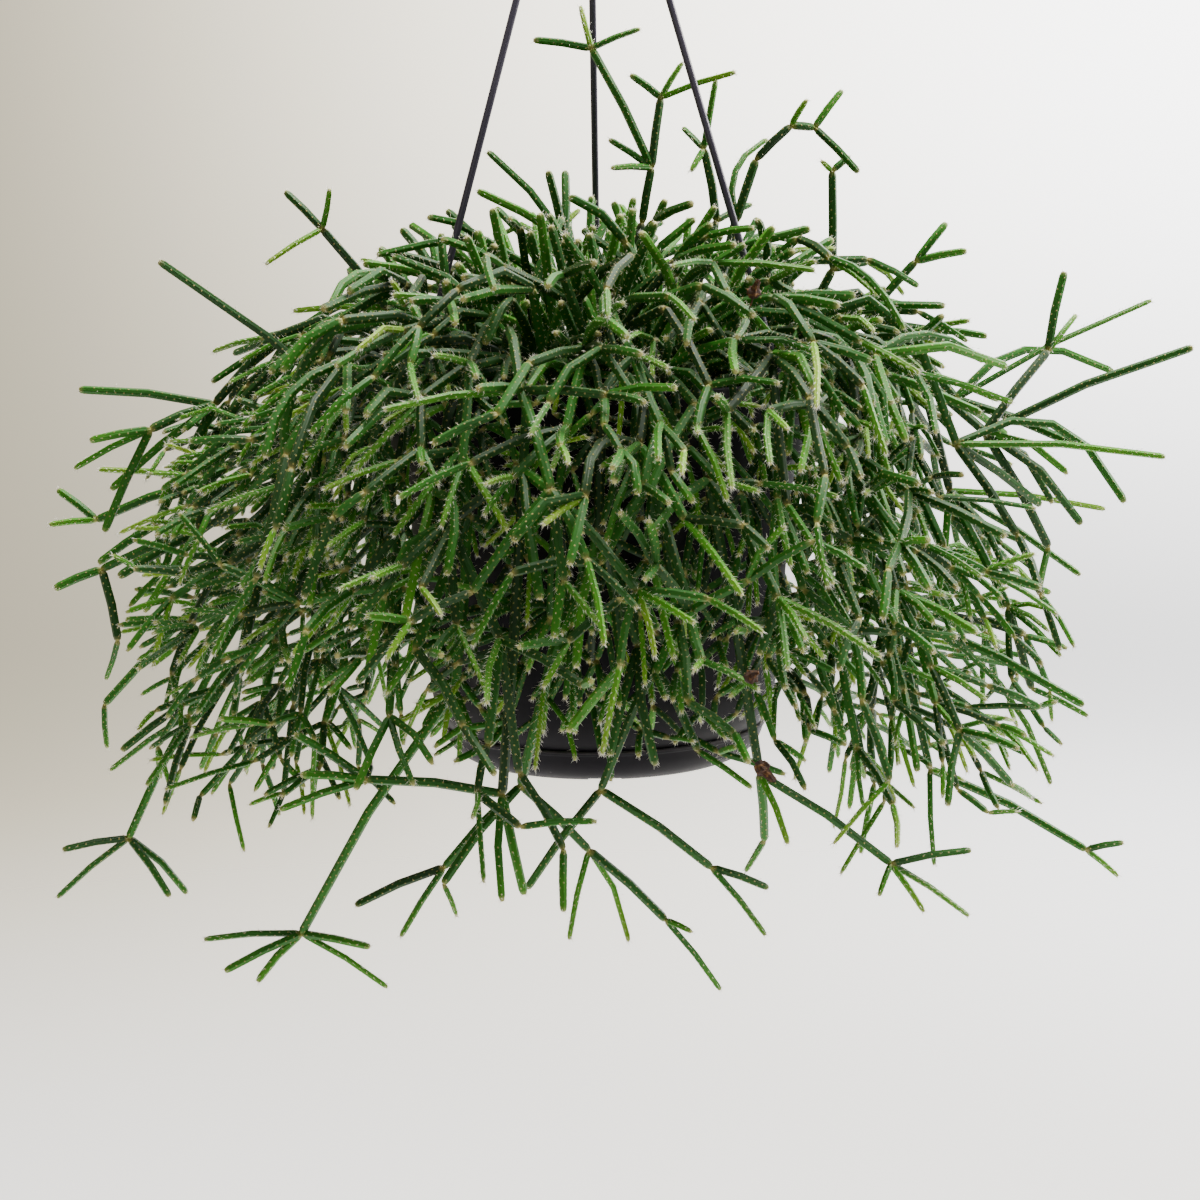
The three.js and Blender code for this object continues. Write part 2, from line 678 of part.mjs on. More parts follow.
// A spray is one closed skin. Each stem is a three-sided tube, each joint a short collar,
// and each stem of a whorl grows out of one face of the collar.
function growSkin(stub, own) {
  const corners = [];
  const faces = [];
  const addRing = (centre, way, radius, like) => {
    const u = unit(cross(way, Math.abs(way[2]) > 0.9 ? [1, 0, 0] : [0, 0, 1]));
    const v = cross(way, u);
    let c = 1;
    let s = 0;
    if (like) {
      const middle = mul(add(add(corners[like[0]], corners[like[1]]), corners[like[2]]), 1 / 3);
      [c, s] = like.map((corner, i) => {
        const arm = sub(corners[corner], middle);
        const angle = Math.atan2(dot(arm, v), dot(arm, u)) - radians(120 * i);
        return [Math.cos(angle), Math.sin(angle)];
      }).reduce((sum, one) => [sum[0] + one[0], sum[1] + one[1]]);
    }
    const first = Math.atan2(s, c);
    return [0, 1, 2].map((i) => {
      const angle = first + radians(120 * i);
      const arm = add(mul(u, Math.cos(angle) * radius), mul(v, Math.sin(angle) * radius));
      corners.push(add(centre, arm));
      return corners.length - 1;
    });
  };
  const sleeve = (low, high) => {
    for (let i = 0; i < 3; i += 1) {
      const j = (i + 1) % 3;
      faces.push([low[i], low[j], high[j]], [low[i], high[j], high[i]]);
    }
  };
  const facing = (face) => {
    const [a, b, c] = face.map((corner) => corners[corner]);
    return unit(cross(sub(b, a), sub(c, a)));
  };

  const growTube = (base, points, radius, children) => {
    const pieces = points.length - 1;
    const last = unit(sub(points[pieces], points[pieces - 1]));
    const whorl = own.filter(children);
    let low = base;
    for (let i = 1; i <= pieces; i += 1) {
      const before = unit(sub(points[i], points[i - 1]));
      const way = i < pieces ? unit(add(before, unit(sub(points[i + 1], points[i])))) : last;
      const short = i === pieces && whorl.length > 0 ? collarBelow * radius : 0;
      const end = i === pieces && whorl.length === 0;
      const high = addRing(sub(points[i], mul(way, short)), way, end ? radius * tipTaper : radius, low);
      sleeve(low, high);
      low = high;
    }
    if (whorl.length === 0) {
      faces.push(low);
      return;
    }
    const top = addRing(add(points[pieces], mul(last, collarAbove * radius)), last, radius * collarTaper, low);
    const open = [top];
    for (let i = 0; i < 3; i += 1) {
      const j = (i + 1) % 3;
      open.push([low[i], low[j], top[j]], [low[i], top[j], top[i]]);
    }
    const places = new Map();
    const ordered = whorl.slice().sort((a, b) => dot(b.heading, last) - dot(a.heading, last));
    for (const child of ordered) {
      const best = open.reduce((one, two) => (
        dot(facing(two), child.heading) > dot(facing(one), child.heading) ? two : one
      ));
      open.splice(open.indexOf(best), 1);
      places.set(child, best);
    }
    faces.push(...open);
    for (const [child, face] of places) {
      growTube(face, child.points, child.radius, (stem) => stem.parent === child);
    }
  };

  const foot = addRing(add(stub.foot, [0, 0, -rootDepth]), [0, 0, 1], stubRadius);
  faces.push([foot[0], foot[2], foot[1]]);
  growTube(foot, [add(stub.foot, [0, 0, -rootDepth]), stub.top], stubRadius,
    (stem) => stem.parent === null);
  const geometry = new THREE.BufferGeometry();
  geometry.setAttribute('position', new THREE.BufferAttribute(new Float32Array(corners.flat()), 3));
  geometry.setIndex(faces.flat());
  return geometry;
}

// Colours from the photograph, and the assembled object
const plastic = { color: 0x36353c, roughness: 0.45, metalness: 0 };
const strandPlastic = { color: 0x46414f, roughness: 0.4, metalness: 0 };
const peat = { color: 0x2b2018, roughness: 0.95, metalness: 0 };
const greens = [0x2f5a24, 0x3a6b2a, 0x467a30, 0x2a5224];

const plant = new THREE.Group();
plant.position.z = -hangerDrop;
function place(name, geometry, looks) {
  const mesh = new THREE.Mesh(geometry, new THREE.MeshStandardMaterial(looks));
  mesh.name = name;
  plant.add(mesh);
}
place('pot', toGeometry(potSolid), plastic);
place('saucer', toGeometry(saucerSolid), plastic);
place('soil', toGeometry(soilSolid), peat);
place('hanger_hook', toGeometry(hookSolid), strandPlastic);
strandSolids.forEach((solid, i) => {
  place(`hanger_strand_${i + 1}`, toGeometry(solid), strandPlastic);
});
sprays.forEach(({ stub, own }, i) => {
  const name = `spray_${String(i + 1).padStart(2, '0')}`;
  const color = greens[i % greens.length];
  place(name, growSkin(stub, own), { color, roughness: 0.6, metalness: 0 });
});

const object = new THREE.Group();
object.add(plant);
export default object;
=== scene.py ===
# %% [markdown]
# A hairy-stemmed rhipsalis in a hanging pot.
#
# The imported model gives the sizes: a moulded pot with a saucer, soil, a three-strand hanger and
# 42 sprays of stems, all in metres with the hook's inside at the origin. This lesson dresses
# it. Each cell first says what a piece is on the real plant, how it could be made, and why it
# is made the way it is.

# %% Load the frame
import json
import math

import bpy
import numpy as np
from mathutils import Matrix, Vector

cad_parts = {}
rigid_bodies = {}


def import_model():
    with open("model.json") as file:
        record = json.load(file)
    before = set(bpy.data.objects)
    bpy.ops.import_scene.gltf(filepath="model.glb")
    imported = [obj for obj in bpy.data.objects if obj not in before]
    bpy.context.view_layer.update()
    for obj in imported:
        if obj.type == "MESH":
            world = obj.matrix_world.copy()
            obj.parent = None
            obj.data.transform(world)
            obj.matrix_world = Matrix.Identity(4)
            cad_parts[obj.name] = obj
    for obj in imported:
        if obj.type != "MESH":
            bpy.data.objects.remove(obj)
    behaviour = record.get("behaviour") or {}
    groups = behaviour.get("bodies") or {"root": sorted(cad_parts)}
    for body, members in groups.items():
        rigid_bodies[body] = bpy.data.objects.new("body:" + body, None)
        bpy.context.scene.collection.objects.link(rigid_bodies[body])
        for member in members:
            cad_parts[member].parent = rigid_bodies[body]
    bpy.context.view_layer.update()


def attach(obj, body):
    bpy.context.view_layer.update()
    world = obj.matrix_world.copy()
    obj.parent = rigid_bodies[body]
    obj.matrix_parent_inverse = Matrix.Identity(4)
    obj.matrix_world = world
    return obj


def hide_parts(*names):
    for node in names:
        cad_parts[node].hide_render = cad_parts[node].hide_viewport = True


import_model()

MM = 0.001
rim_below_hook = 375
hanger_drop = rim_below_hook * MM

# %% [markdown]
# The camera comes first, so that every later piece can be judged through it. The photograph
# was taken from a little above the rim, about 1.27 m away, with the pot's axis a hair left of
# the middle and the picture turned by just under a degree. Those few values are all it needs.

# %% Camera
camera_distance = 1.27
camera_pitch = math.radians(9.3)
camera_roll = math.radians(0.9)
camera_target = Vector((-0.001, 0, -0.488))
focal_length = 75
sensor_width = 36


def place_camera():
    """Looks along +Y and down, from the photograph's distance."""
    bpy.ops.object.camera_add()
    camera = bpy.context.object
    camera.name = "photograph_camera"
    back = Vector((0, -math.cos(camera_pitch), math.sin(camera_pitch)))
    level = Vector((1, 0, 0))
    up = back.cross(level)
    right = level * math.cos(camera_roll) - up * math.sin(camera_roll)
    up = back.cross(right)
    turn = Matrix((right, up, back)).transposed()
    camera.matrix_world = Matrix.Translation(camera_target + back * camera_distance) @ turn.to_4x4()
    camera.data.lens = focal_length
    camera.data.sensor_width = sensor_width
    camera.data.sensor_fit = "HORIZONTAL"
    camera.data.dof.use_dof = False
    bpy.context.scene.camera = camera
    return camera


camera = place_camera()
print("camera at", tuple(round(value, 3) for value in camera.location))

# %% [markdown]
# The plant is a growth, so it is grown here as well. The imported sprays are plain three-sided
# tubes, and reading a mesh would not say which stem is old, which is young and where a whorl
# sits. The same few rules with the same seeded draws give the same stems, in millimetres from
# the pot's rim, and each finished spray is laid over the node that it replaces.

# %% The plant's driving sizes
seed_start = 20617
root_count = 42
root_disc_radius = 84
root_pull = 74
soil_top = -12
stub_height = 4
stub_radius = 3.7
stem_total = 1210
stem_radius = (3, 2.85, 2.65, 2.4)
least_room = 11.5
thin_below = -40
turn_cost = 26
outward_gain = 18
least_outward = 0.35
steep_down = -0.45
hang_below = -20
hang_gain = 0.55
hang_within = 148
least_spread = 0.4
most_draws = 60000
most_joints = 5
most_children = 4
most_shoots = 5
least_fork = 27
gap_between_stems = 0.8
bush_heart = -50
bush_centre = -95
bush_radius = 252
bush_height = 188
bush_depth = 150
trailing_count = 20
trailing_reach = 152
whole_bush = (-252, 252, -252, 252, -245, 93)
crown = (-125, 125, -125, 125, 5, 93)
front_side = (-150, 150, -235, -90, -120, 75)
fill_zones = (whole_bush, front_side, crown, whole_bush, whole_bush, front_side, whole_bush)
shoot_reach = (30, 112, 80)
stem_reach = (None, (34, 74, 62), (26, 58, 56), (15, 40, 56))
print("roots", root_count, "packed stems wanted", stem_total)

# %% [markdown]
# No stem may pass through the plastic. The pot's outside is kept as a short list of depths and
# radii, which is enough for a turned shape, and each strand is one straight line. Both could
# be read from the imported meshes, but a dozen sizes are quicker to test against.

# %% The pot and the hanger that the stems grow round
rim_radius = 104.5
inner_wall_top = 96.5
saucer_rim_radius = 79.6
saucer_rim_height = -174.5
saucer_bottom = -190
foot_circle = 100.2
strand_circle = 4.8
hub_height = 300
strand_reach = 4.4
strand_angles = (90, 210, 330)
outline_depths = (0, 38, 38, 115, 152, 162, 174.5)
outline_radii = (rim_radius, rim_radius, 98.5, 91.5, 88, 84.5, 77)


def on_circle(radius, degrees, z):
    turn = math.radians(degrees)
    return np.array([radius * math.cos(turn), radius * math.sin(turn), z])


strand_feet = np.array([on_circle(foot_circle, angle, -10) for angle in strand_angles])
strand_tops = np.array([on_circle(strand_circle, angle, hub_height) for angle in strand_angles])
print("strand feet", strand_feet.round(1).tolist())

# %% [markdown]
# A growth needs chance, and the same chance on every run. A small generator of whole numbers
# gives it: each number is worked out from the one before, so the seed alone decides the plant.
# The other helper measures how near one straight piece comes to many others in one go.

# %% Small helpers: seeded draws and distances
seed = seed_start


def draw(low, high):
    """A seeded random number, the same on every run."""
    global seed
    seed = (seed * 1664525 + 1013904223) % 4294967296
    return low + (high - low) * seed / 4294967296


def unit(vector):
    return vector / np.sqrt((vector * vector).sum(-1, keepdims=True))


def line_gaps(start, end, starts, ends):
    """Shortest distances from one straight piece to many others."""
    way, ways, apart = end - start, ends - starts, start - starts
    a, e = way @ way, (ways * ways).sum(1)
    f, c, b = (ways * apart).sum(1), apart @ way, ways @ way
    det = a * e - b * b
    s = np.where(det > 1e-9, np.clip((b * f - c * e) / np.maximum(det, 1e-9), 0, 1), 0)
    t = (b * s + f) / e
    if a > 1e-9:
        s = np.where(t < 0, np.clip(-c / a, 0, 1), np.where(t > 1, np.clip((b - c) / a, 0, 1), s))
    else:
        s = np.where((t < 0) | (t > 1), 0, s)
    t = np.clip(t, 0, 1)
    between = start + way * s[:, None] - starts - ways * t[:, None]
    return np.sqrt((between * between).sum(1))


# %% [markdown]
# A stem is a gently bowed line. Its bow is greatest in the middle, so three vectors say all of
# it: start, end and bow. Every stem is kept as a small record, and the same values are also
# written into arrays, so that one sum can test a new stem against all the others at once.

# %% A stem
class Stem:
    """One bowed line, with its place in the plant and straight pieces for the tests."""
    def __init__(self, spray, order, parent, start, end, bow):
        self.spray, self.order, self.parent = spray, order, parent
        self.start, self.end, self.bow = start, end, bow
        self.radius = stem_radius[order]
        self.depth = 0 if parent is None else parent.depth + 1
        self.ends = False
        self.children = self.index = 0
        bend = math.sqrt(bow @ bow)
        pieces = 1 if bend < 3 else 2 if bend < 9 else 3 if bend < 20 else 4
        self.points = self.along(np.arange(pieces + 1) / pieces)
        self.middle = (start + end) * 0.5
        self.reach = math.sqrt((start - end) @ (start - end)) / 2 + bend
        self.heading = unit(end - start + 4 * bow)
        self.tail = unit(end - start - 4 * bow)

    def along(self, t):
        t = np.asarray(t)[:, None]
        return self.start + (self.end - self.start) * t + self.bow * (4 * t * (1 - t))


# %% The record of all stems
class Register:
    """Every stem so far, once as a list and once as arrays."""
    def __init__(self, room):
        self.stems = []
        self.middle, self.end, self.tail = (np.zeros((room, 3)) for _ in range(3))
        self.reach, self.order, self.spray, self.parent = (np.zeros(room) for _ in range(4))
        self.piece_start, self.piece_end = np.zeros((room * 4, 3)), np.zeros((room * 4, 3))
        self.piece_stem, self.piece_radius = np.zeros(room * 4, int), np.zeros(room * 4)
        self.pieces = 0

    def add(self, stem):
        n = len(self.stems)
        stem.index = n
        self.stems.append(stem)
        self.middle[n], self.end[n], self.tail[n] = stem.middle, stem.end, stem.tail
        self.reach[n], self.order[n], self.spray[n] = stem.reach, stem.order, stem.spray
        self.parent[n] = -1 if stem.parent is None else stem.parent.index
        if stem.parent is not None:
            stem.parent.children += 1
        for start, end in zip(stem.points[:-1], stem.points[1:]):
            k = self.pieces
            self.piece_start[k], self.piece_end[k] = start, end
            self.piece_stem[k], self.piece_radius[k] = n, stem.radius
            self.pieces += 1

    def twins(self, spray, parent):
        """The stems of one whorl: those with this spray and this parent."""
        n = len(self.stems)
        above = -1 if parent is None else parent.index
        return (self.spray[:n] == spray) & (self.parent[:n] == above)

    def openness(self, place):
        """How far a place is from every stem's end and middle."""
        n = len(self.stems)
        ends, middles = self.end[:n] - place, self.middle[:n] - place
        nearest = min((ends * ends).sum(1).min(), (middles * middles).sum(1).min())
        return math.sqrt(nearest)


stem_room = 3700
grown = Register(stem_room)
print("room for", stem_room, "stems")

# %% [markdown]
# A new stem has to pass three tests. It forks away from the others of its whorl, stays clear
# of pot, soil and strands, and passes every other stem with a little air. A collision solver
# could do this, but distances between straight pieces are exact enough and much faster.

# %% Clear of the pot
spot_step = 3
pot_gap, wall_gap, saucer_gap = 1.2, 1.5, 12


def outside_radius(z):
    """The pot's outside at a height, or the saucer's below its rim."""
    pot = np.interp(-z, outline_depths, outline_radii)
    return np.where(z > saucer_rim_height + 1, pot, saucer_rim_radius)


def clear_of_pot(points, radius):
    """True if a line clears the pot, the saucer, the soil and the strands."""
    for start, end in zip(points[:-1], points[1:]):
        steps = 1 + int(math.sqrt((end - start) @ (end - start)) / spot_step)
        spots = start + (end - start) * (np.arange(steps + 1) / steps)[:, None]
        away = np.hypot(spots[:, 0], spots[:, 1])
        z = spots[:, 2]
        over_soil = (away < inner_wall_top - radius - wall_gap) \
            & (z > soil_top + stub_height - 0.5)
        over_rim = z > radius + pot_gap
        beside = (away > outside_radius(z + radius + 1) + radius + pot_gap) \
            & (away > outside_radius(z - radius - 1) + radius + pot_gap)
        under = z < saucer_bottom - saucer_gap
        if not (over_soil | over_rim | beside | under).all():
            return False
        if (line_gaps(start, end, strand_feet, strand_tops) < radius + strand_reach).any():
            return False
    return True


# %% Clear of the other stems
search_margin = 8


def clear_of_stems(stem):
    """True if a stem clears all others but its parent and its twins."""
    n = len(grown.stems)
    if n == 0:
        return True
    family = grown.twins(stem.spray, stem.parent)
    if stem.parent is not None:
        family[stem.parent.index] = True
    for start, end in zip(stem.points[:-1], stem.points[1:]):
        middle = (start + end) * 0.5
        half = math.sqrt((start - end) @ (start - end)) / 2
        apart = grown.middle[:n] - middle
        near = ~family & (np.sqrt((apart * apart).sum(1)) <= half + grown.reach[:n] + search_margin)
        picked = np.flatnonzero(near[grown.piece_stem[:grown.pieces]])
        if len(picked) == 0:
            continue
        gaps = line_gaps(start, end, grown.piece_start[picked], grown.piece_end[picked])
        if (gaps < stem.radius + grown.piece_radius[picked] + gap_between_stems).any():
            return False
    return True


def apart_from_twins(stem):
    """True if a stem forks widely enough from the others of its whorl."""
    twins = np.flatnonzero(grown.twins(stem.spray, stem.parent))
    limit = math.cos(math.radians(least_fork))
    return all(grown.stems[i].heading @ stem.heading < limit for i in twins)


def fits(stem):
    return (apart_from_twins(stem) and clear_of_pot(stem.points, stem.radius)
            and clear_of_stems(stem))


# %% The shape of the bush
def inside_bush(place):
    """The bush is a dome above its widest level and a squarish bowl below it."""
    out = math.hypot(place[0], place[1]) / bush_radius
    up = place[2] - bush_centre
    if up > 0:
        return out ** 2 + (up / bush_height) ** 2 < 1
    return out ** 4 + (-up / bush_depth) ** 4 < 1


# %% [markdown]
# Cuttings are set evenly over the soil. A sunflower spacing does this without a grid: each
# root turns on by the golden angle, and its distance grows with the square root of its number.

# %% Where the sprays root
root_feet = [
    on_circle(root_disc_radius * math.sqrt((i + 0.5) / root_count), 137.508 * i, soil_top)
    for i in range(root_count)
]
root_tops = np.array(root_feet) + [0, 0, stub_height]
root_taken = [False] * root_count
root_open = np.ones(root_count, bool)
print("roots from", root_tops[0].round(1), "to", root_tops[-1].round(1))


def take_root(x, y):
    """The nearest root that no shoot has yet."""
    free = [i for i in range(root_count) if not root_taken[i]]
    best = min(free, key=lambda i: math.hypot(root_feet[i][0] - x, root_feet[i][1] - y))
    root_taken[best] = True
    return best


# %% [markdown]
# The photograph shows some shoots standing out of the bush: two tall sprigs beside the right
# strand, long arms at both sides and a fringe below the saucer. These are listed as a tree:
# each joint is x, y, z in millimetres from the rim, and then what grows on from it.

# %% The shoots that stand out
standing_out = [
  [103, 24, 18, [119, 18, 51, [118, 10, 100, [112, 4, 105], [127, 12, 107]], [138, 30, 54]]],
  [138, 48, 22, [163, 34, 54, [179, 38, 73], [188, 28, 59]], [175, 50, 18]],
  [23, 12, 76, [28, 8, 103, [-1, 0, 161, [-29, -8, 165], [-6, 8, 182], [23, 0, 170]],
    [33, 8, 137, [18, 0, 148], [44, 8, 154], [69, -10, 148]], [7, 0, 117], [8, -10, 103]]],
  [61, 30, 76, [55, 28, 112, [48, 20, 101], [61, 22, 146], [45, 40, 123]], [80, 45, 84]],
  [69, -4, 76, [79, -8, 106, [96, -10, 122, [108, -4, 121, [122, 0, 139], [129, -10, 99]],
    [103, -20, 134]]], [86, 14, 116]],
  [-13, -10, 39, [-16, -12, 70, [-58, -12, 93], [-53, 0, 112], [-23, -20, 102], [-15, 4, 102]]],
  [-78, -30, 15, [-103, -34, 38, [-132, -36, 76, [-150, -30, 94], [-127, -44, 95],
    [-158, -50, 60]]]],
  [-111, -70, -13, [-203, -84, 63], [-160, -110, -18]],
  [-191, -10, -10, [-257, -16, -1], [-220, -30, -20, [-248, -40, -24], [-259, -26, -39]]],
  [-202, 20, -51, [-259, 22, -71, [-282, 14, -72], [-280, 30, -56]], [-262, 50, -48]],
  [-198, -30, -70, [-246, -36, -88, [-268, -44, -96], [-239, -40, -123]]],
  [-158, 42, -30, [-184, 40, -95, [-264, 44, -172, [-264, 46, -196]], [-243, 70, -131]]],
  [-148, 0, -50, [-178, 0, -110, [-211, -6, -168, [-244, -10, -231, [-276, -20, -234],
    [-283, -6, -263], [-223, -18, -260], [-217, -2, -263]], [-255, 6, -199]]]],
  [-60, -135, -52, [-68, -132, -132, [-144, -116, -251, [-191, -110, -255], [-179, -128, -265],
    [-165, -120, -273], [-111, -126, -255], [-105, -110, -280]]]],
  [-34, -150, -30, [-46, -166, -173, [-106, -172, -164, [-136, -180, -141],
    [-133, -186, -158], [-144, -176, -176]]]],
  [-1, -140, -60, [-39, -125, -179, [-76, -116, -220, [-119, -108, -240], [-97, -120, -252]],
    [-8, -112, -214, [28, -100, -252, [54, -94, -289], [40, -110, -255]], [10, -104, -261],
      [-18, -116, -256]]]],
  [48, -146, -36, [72, -118, -177, [135, -104, -225, [150, -110, -247], [173, -98, -253],
    [128, -116, -237]]]],
  [24, -142, -34, [34, -148, -100, [-2, -132, -180, [49, -120, -221, [76, -114, -233],
    [74, -124, -253]], [-37, -126, -228]]]],
  [142, -20, -30, [144, -20, -112, [165, -16, -200, [246, -10, -245, [264, -16, -240],
    [264, -4, -261]], [167, -20, -249]]]],
  [189, -30, -28, [287, -44, 13], [224, -6, 10, [232, -4, 49], [240, 6, 27]]],
  [184, 36, -17, [285, 40, 32], [270, 60, -6]],
  [170, -64, -30, [271, -60, -38], [254, -50, -61]],
  [176, 0, -60, [254, -4, -70], [244, 6, -105]],
  [156, 62, -30, [173, 50, -103, [238, 56, -122], [239, 48, -146]]],
  [131, -60, -65, [151, -60, -115, [233, -64, -158], [219, -56, -199]]],
  [-34, -166, 7, [-91, -196, 2], [3, -186, 6], [-21, -204, -32, [-55, -206, -75],
    [-16, -212, -70], [15, -204, -76]]],
  [17, -160, -18, [38, -182, -89, [8, -194, -81], [23, -200, -66], [63, -188, -75]]],
  [-75, -140, -40, [-45, -176, -101, [-38, -172, -162], [-51, -184, -146]]],
]
print("shoots that stand out", len(standing_out))

# %% [markdown]
# A stem between two places starts almost straight. If it would touch something, it is arched
# up a little more and swayed to one side or the other, until it is clear or the tries run out.
# So the gentle bends come from the crowding, as they do on the real plant.

# %% Growing a stem between two places
patient_tries, quick_tries = 36, 8
least_arch, arch_steps = 0.03, 12


def reach_to(spray, order, parent, start, end, steepest):
    """Arches a stem up and sways it, just enough to be clear."""
    tries_allowed = patient_tries if order == 0 or steepest > 0.3 else quick_tries
    chord = end - start
    long = math.sqrt(chord @ chord)
    flat = math.hypot(chord[0], chord[1]) / long
    side = unit(np.cross(chord, [0.01, 0.02, 1]))
    lift = unit(np.cross(side, chord))
    for tries in range(tries_allowed):
        arch = least_arch + (steepest - least_arch) * (tries % arch_steps) / (arch_steps - 1)
        sway = draw(-1, 1) * (0.04 + 0.008 * tries)
        bow = lift * (arch * (0.3 + 0.7 * flat) * long) + side * (sway * long)
        stem = Stem(spray, order, parent, start, end, bow)
        if fits(stem):
            grown.add(stem)
            return stem
    return None


# %% Growing the shoots that stand out
def grow_given(spray, order, parent, start, joint):
    """Grows a given joint and all that follows it."""
    following = joint[3:]
    rank = min(2, order) if following else min(3, max(2, order))
    steepest = 0.56 if order == 0 else 0.31
    stem = reach_to(spray, rank, parent, start, np.array(joint[:3], float), steepest)
    if stem is None:
        return False
    stem.ends = not following
    for child in following:
        grow_given(spray, order + 1, stem, stem.end, child)
    return True


for joint in standing_out:
    inwards = min(0.6, root_pull / math.hypot(joint[0], joint[1]))
    for tries in range(3):
        spray = take_root(joint[0] * inwards, joint[1] * inwards)
        if grow_given(spray, 0, None, root_tops[spray], joint):
            break
print("hand-placed stems", len(grown.stems))

# %% [markdown]
# Older shoots bend over the rim and trail all round the pot. They have three joints each, and
# they are placed before the bush fills, since a shoot that hangs straight down needs room.

# %% Trailing shoots round the rim
def nearest_roots(place):
    """The four roots that lie nearest below a place."""
    inwards = root_pull / math.hypot(place[0], place[1])
    x, y = place[0] * inwards, place[1] * inwards
    return sorted(range(root_count),
                  key=lambda i: math.hypot(root_feet[i][0] - x, root_feet[i][1] - y))[:4]


for i in range(trailing_count):
    turn = 360 * (i + draw(-0.25, 0.25)) / trailing_count
    first = on_circle(trailing_reach - 20, turn, draw(-35, -15))
    second = on_circle(trailing_reach + draw(-10, 15), turn, draw(-110, -80))
    if grown.openness(first) > 22 and grown.openness(second) > 32:
        third = on_circle(trailing_reach + draw(10, 45), turn, draw(-165, -135))
        joint = [*first, [*second, [*third]]]
        for root in nearest_roots(first):
            if grow_given(root, 0, None, root_tops[root], joint):
                break
for stem in grown.stems:
    stem.ends = stem.ends and stem.order == 3
print("with trailing shoots", len(grown.stems))

# %% [markdown]
# The rest of the bush fills evenly. An empty place is drawn, and a stem grows to it from the
# joint that reaches it best: near, in line with the stem below, and outwards or hanging. Whorls
# of two to four stems form by themselves wherever there is room round a joint.

# %% The joints that reach a place
def reaching_joints(place):
    """The four joints that reach a place best, cheapest first."""
    n = len(grown.stems)
    order = np.concatenate([np.zeros(root_count), np.minimum(3, grown.order[:n] + 1)])
    joint_at = np.concatenate([root_tops, grown.end[:n]])
    way = np.concatenate([np.tile([0.0, 0, 1], (root_count, 1)), grown.tail[:n]])
    live = np.array([not stem.ends and stem.depth < most_joints for stem in grown.stems])
    live = np.concatenate([root_open, live])
    limits = np.array([shoot_reach, *stem_reach[1:]], float)[order.astype(int)]
    offset = place - joint_at
    far = np.sqrt((offset * offset).sum(1))
    angle = np.arccos(np.clip((offset * way).sum(1) / far, -1, 1))
    outward = unit(joint_at * [1, 1, 0.8] - [0, 0, bush_heart * 0.8])
    outwards = (offset * outward).sum(1) / far
    away = np.hypot(joint_at[:, 0], joint_at[:, 1])
    radial = (offset[:, :2] * joint_at[:, :2]).sum(1) / (away * far)
    hangs = (offset[:, 2] / far < steep_down) & (place[2] < hang_below) \
        & ((away < hang_within) | (radial > least_spread))
    good = live & (far >= limits[:, 0]) & (far <= limits[:, 1]) \
        & (angle < np.radians(limits[:, 2])) \
        & ((order == 0) | (outwards > least_outward) | hangs)
    cost = far + turn_cost * angle - outward_gain * np.where(hangs, hang_gain, outwards)
    best = sorted(np.flatnonzero(good), key=lambda i: cost[i])[:4]
    return [(i, None) if i < root_count else (None, grown.stems[i - root_count]) for i in best]


# %% Filling the bush
def fill_place(place):
    """Grows one stem to a place from the first joint that can reach it."""
    for root, parent in reaching_joints(place):
        spray = root if parent is None else parent.spray
        order = 0 if parent is None else min(3, parent.order + 1)
        start = root_tops[root] if parent is None else parent.end
        most = most_shoots if parent is None else most_children
        if grown.twins(spray, parent).sum() < most \
                and reach_to(spray, order, parent, start, place, 0.3):
            return


def fill_bush(total, zones, least):
    """Draws places, zone by zone, until the bush has its stems, and counts the draws."""
    for n in range(most_draws):
        if len(grown.stems) >= total:
            break
        west, east, south, north, floor, roof = zones[n % len(zones)]
        place = np.array([draw(west, east), draw(south, north), draw(floor, roof)])
        low = min(1, max(0, (thin_below - place[2]) / 200))
        room = least * (1 + 1.2 * low)
        if inside_bush(place) and grown.openness(place) >= room \
                and clear_of_pot([place, place], 2):
            fill_place(place)
    return n


used = fill_bush(stem_total, fill_zones, least_room)
print("packed stems", len(grown.stems), "draws", used)

# %% [markdown]
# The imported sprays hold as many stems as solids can. The real bush is denser still: in front of
# the pot hardly a gap lets the plastic through, and the heart is almost black. So the same
# growth goes on from the same joints with shorter, closer twigs until the bush is full.

# %% Where the finer twigs go
twig_total = 3580
twig_room = 7.0
twig_gap = 0.15
twig_joints = 7
twig_children = 6
pot_front = (-135, 135, -155, -100, -115, 35)
pot_face = (-95, 105, -150, -98, -100, 25)
pot_foot = (-95, 110, -160, -88, -165, -95)
left_side = (-262, -110, -120, 130, -130, 35)
lower_left = (-225, -112, -120, 110, -205, -100)
lower_right = (112, 225, -120, 110, -205, -100)
pot_right = (100, 165, -100, 100, -120, 35)
pot_back = (-135, 135, 100, 165, -120, 35)
back_side = (-160, 160, 110, 235, -190, 40)
heart = (-150, 150, -150, 150, -60, 60)
twig_zones = (left_side, lower_left, pot_front, back_side, lower_right, heart, pot_back,
              pot_foot, left_side, pot_face, pot_right, pot_foot, back_side, whole_bush)
print("twig zones", len(twig_zones))

# %% Finer twigs
first_twig = len(grown.stems)
root_open[:] = [bool((grown.spray[:first_twig] == root).any()) for root in range(root_count)]
gap_between_stems, most_joints = twig_gap, twig_joints
most_children = most_shoots = twig_children
stem_radius = (2.55, 2.4, 2.2, 2.05)
stem_reach = (None, (24, 76, 66), (20, 66, 64), (14, 46, 66))
least_outward = -0.3
outward_gain = 45
bush_height, bush_radius = 155, 246
used = fill_bush(twig_total, twig_zones, twig_room)
print("twigs", len(grown.stems) - first_twig, "draws", used)

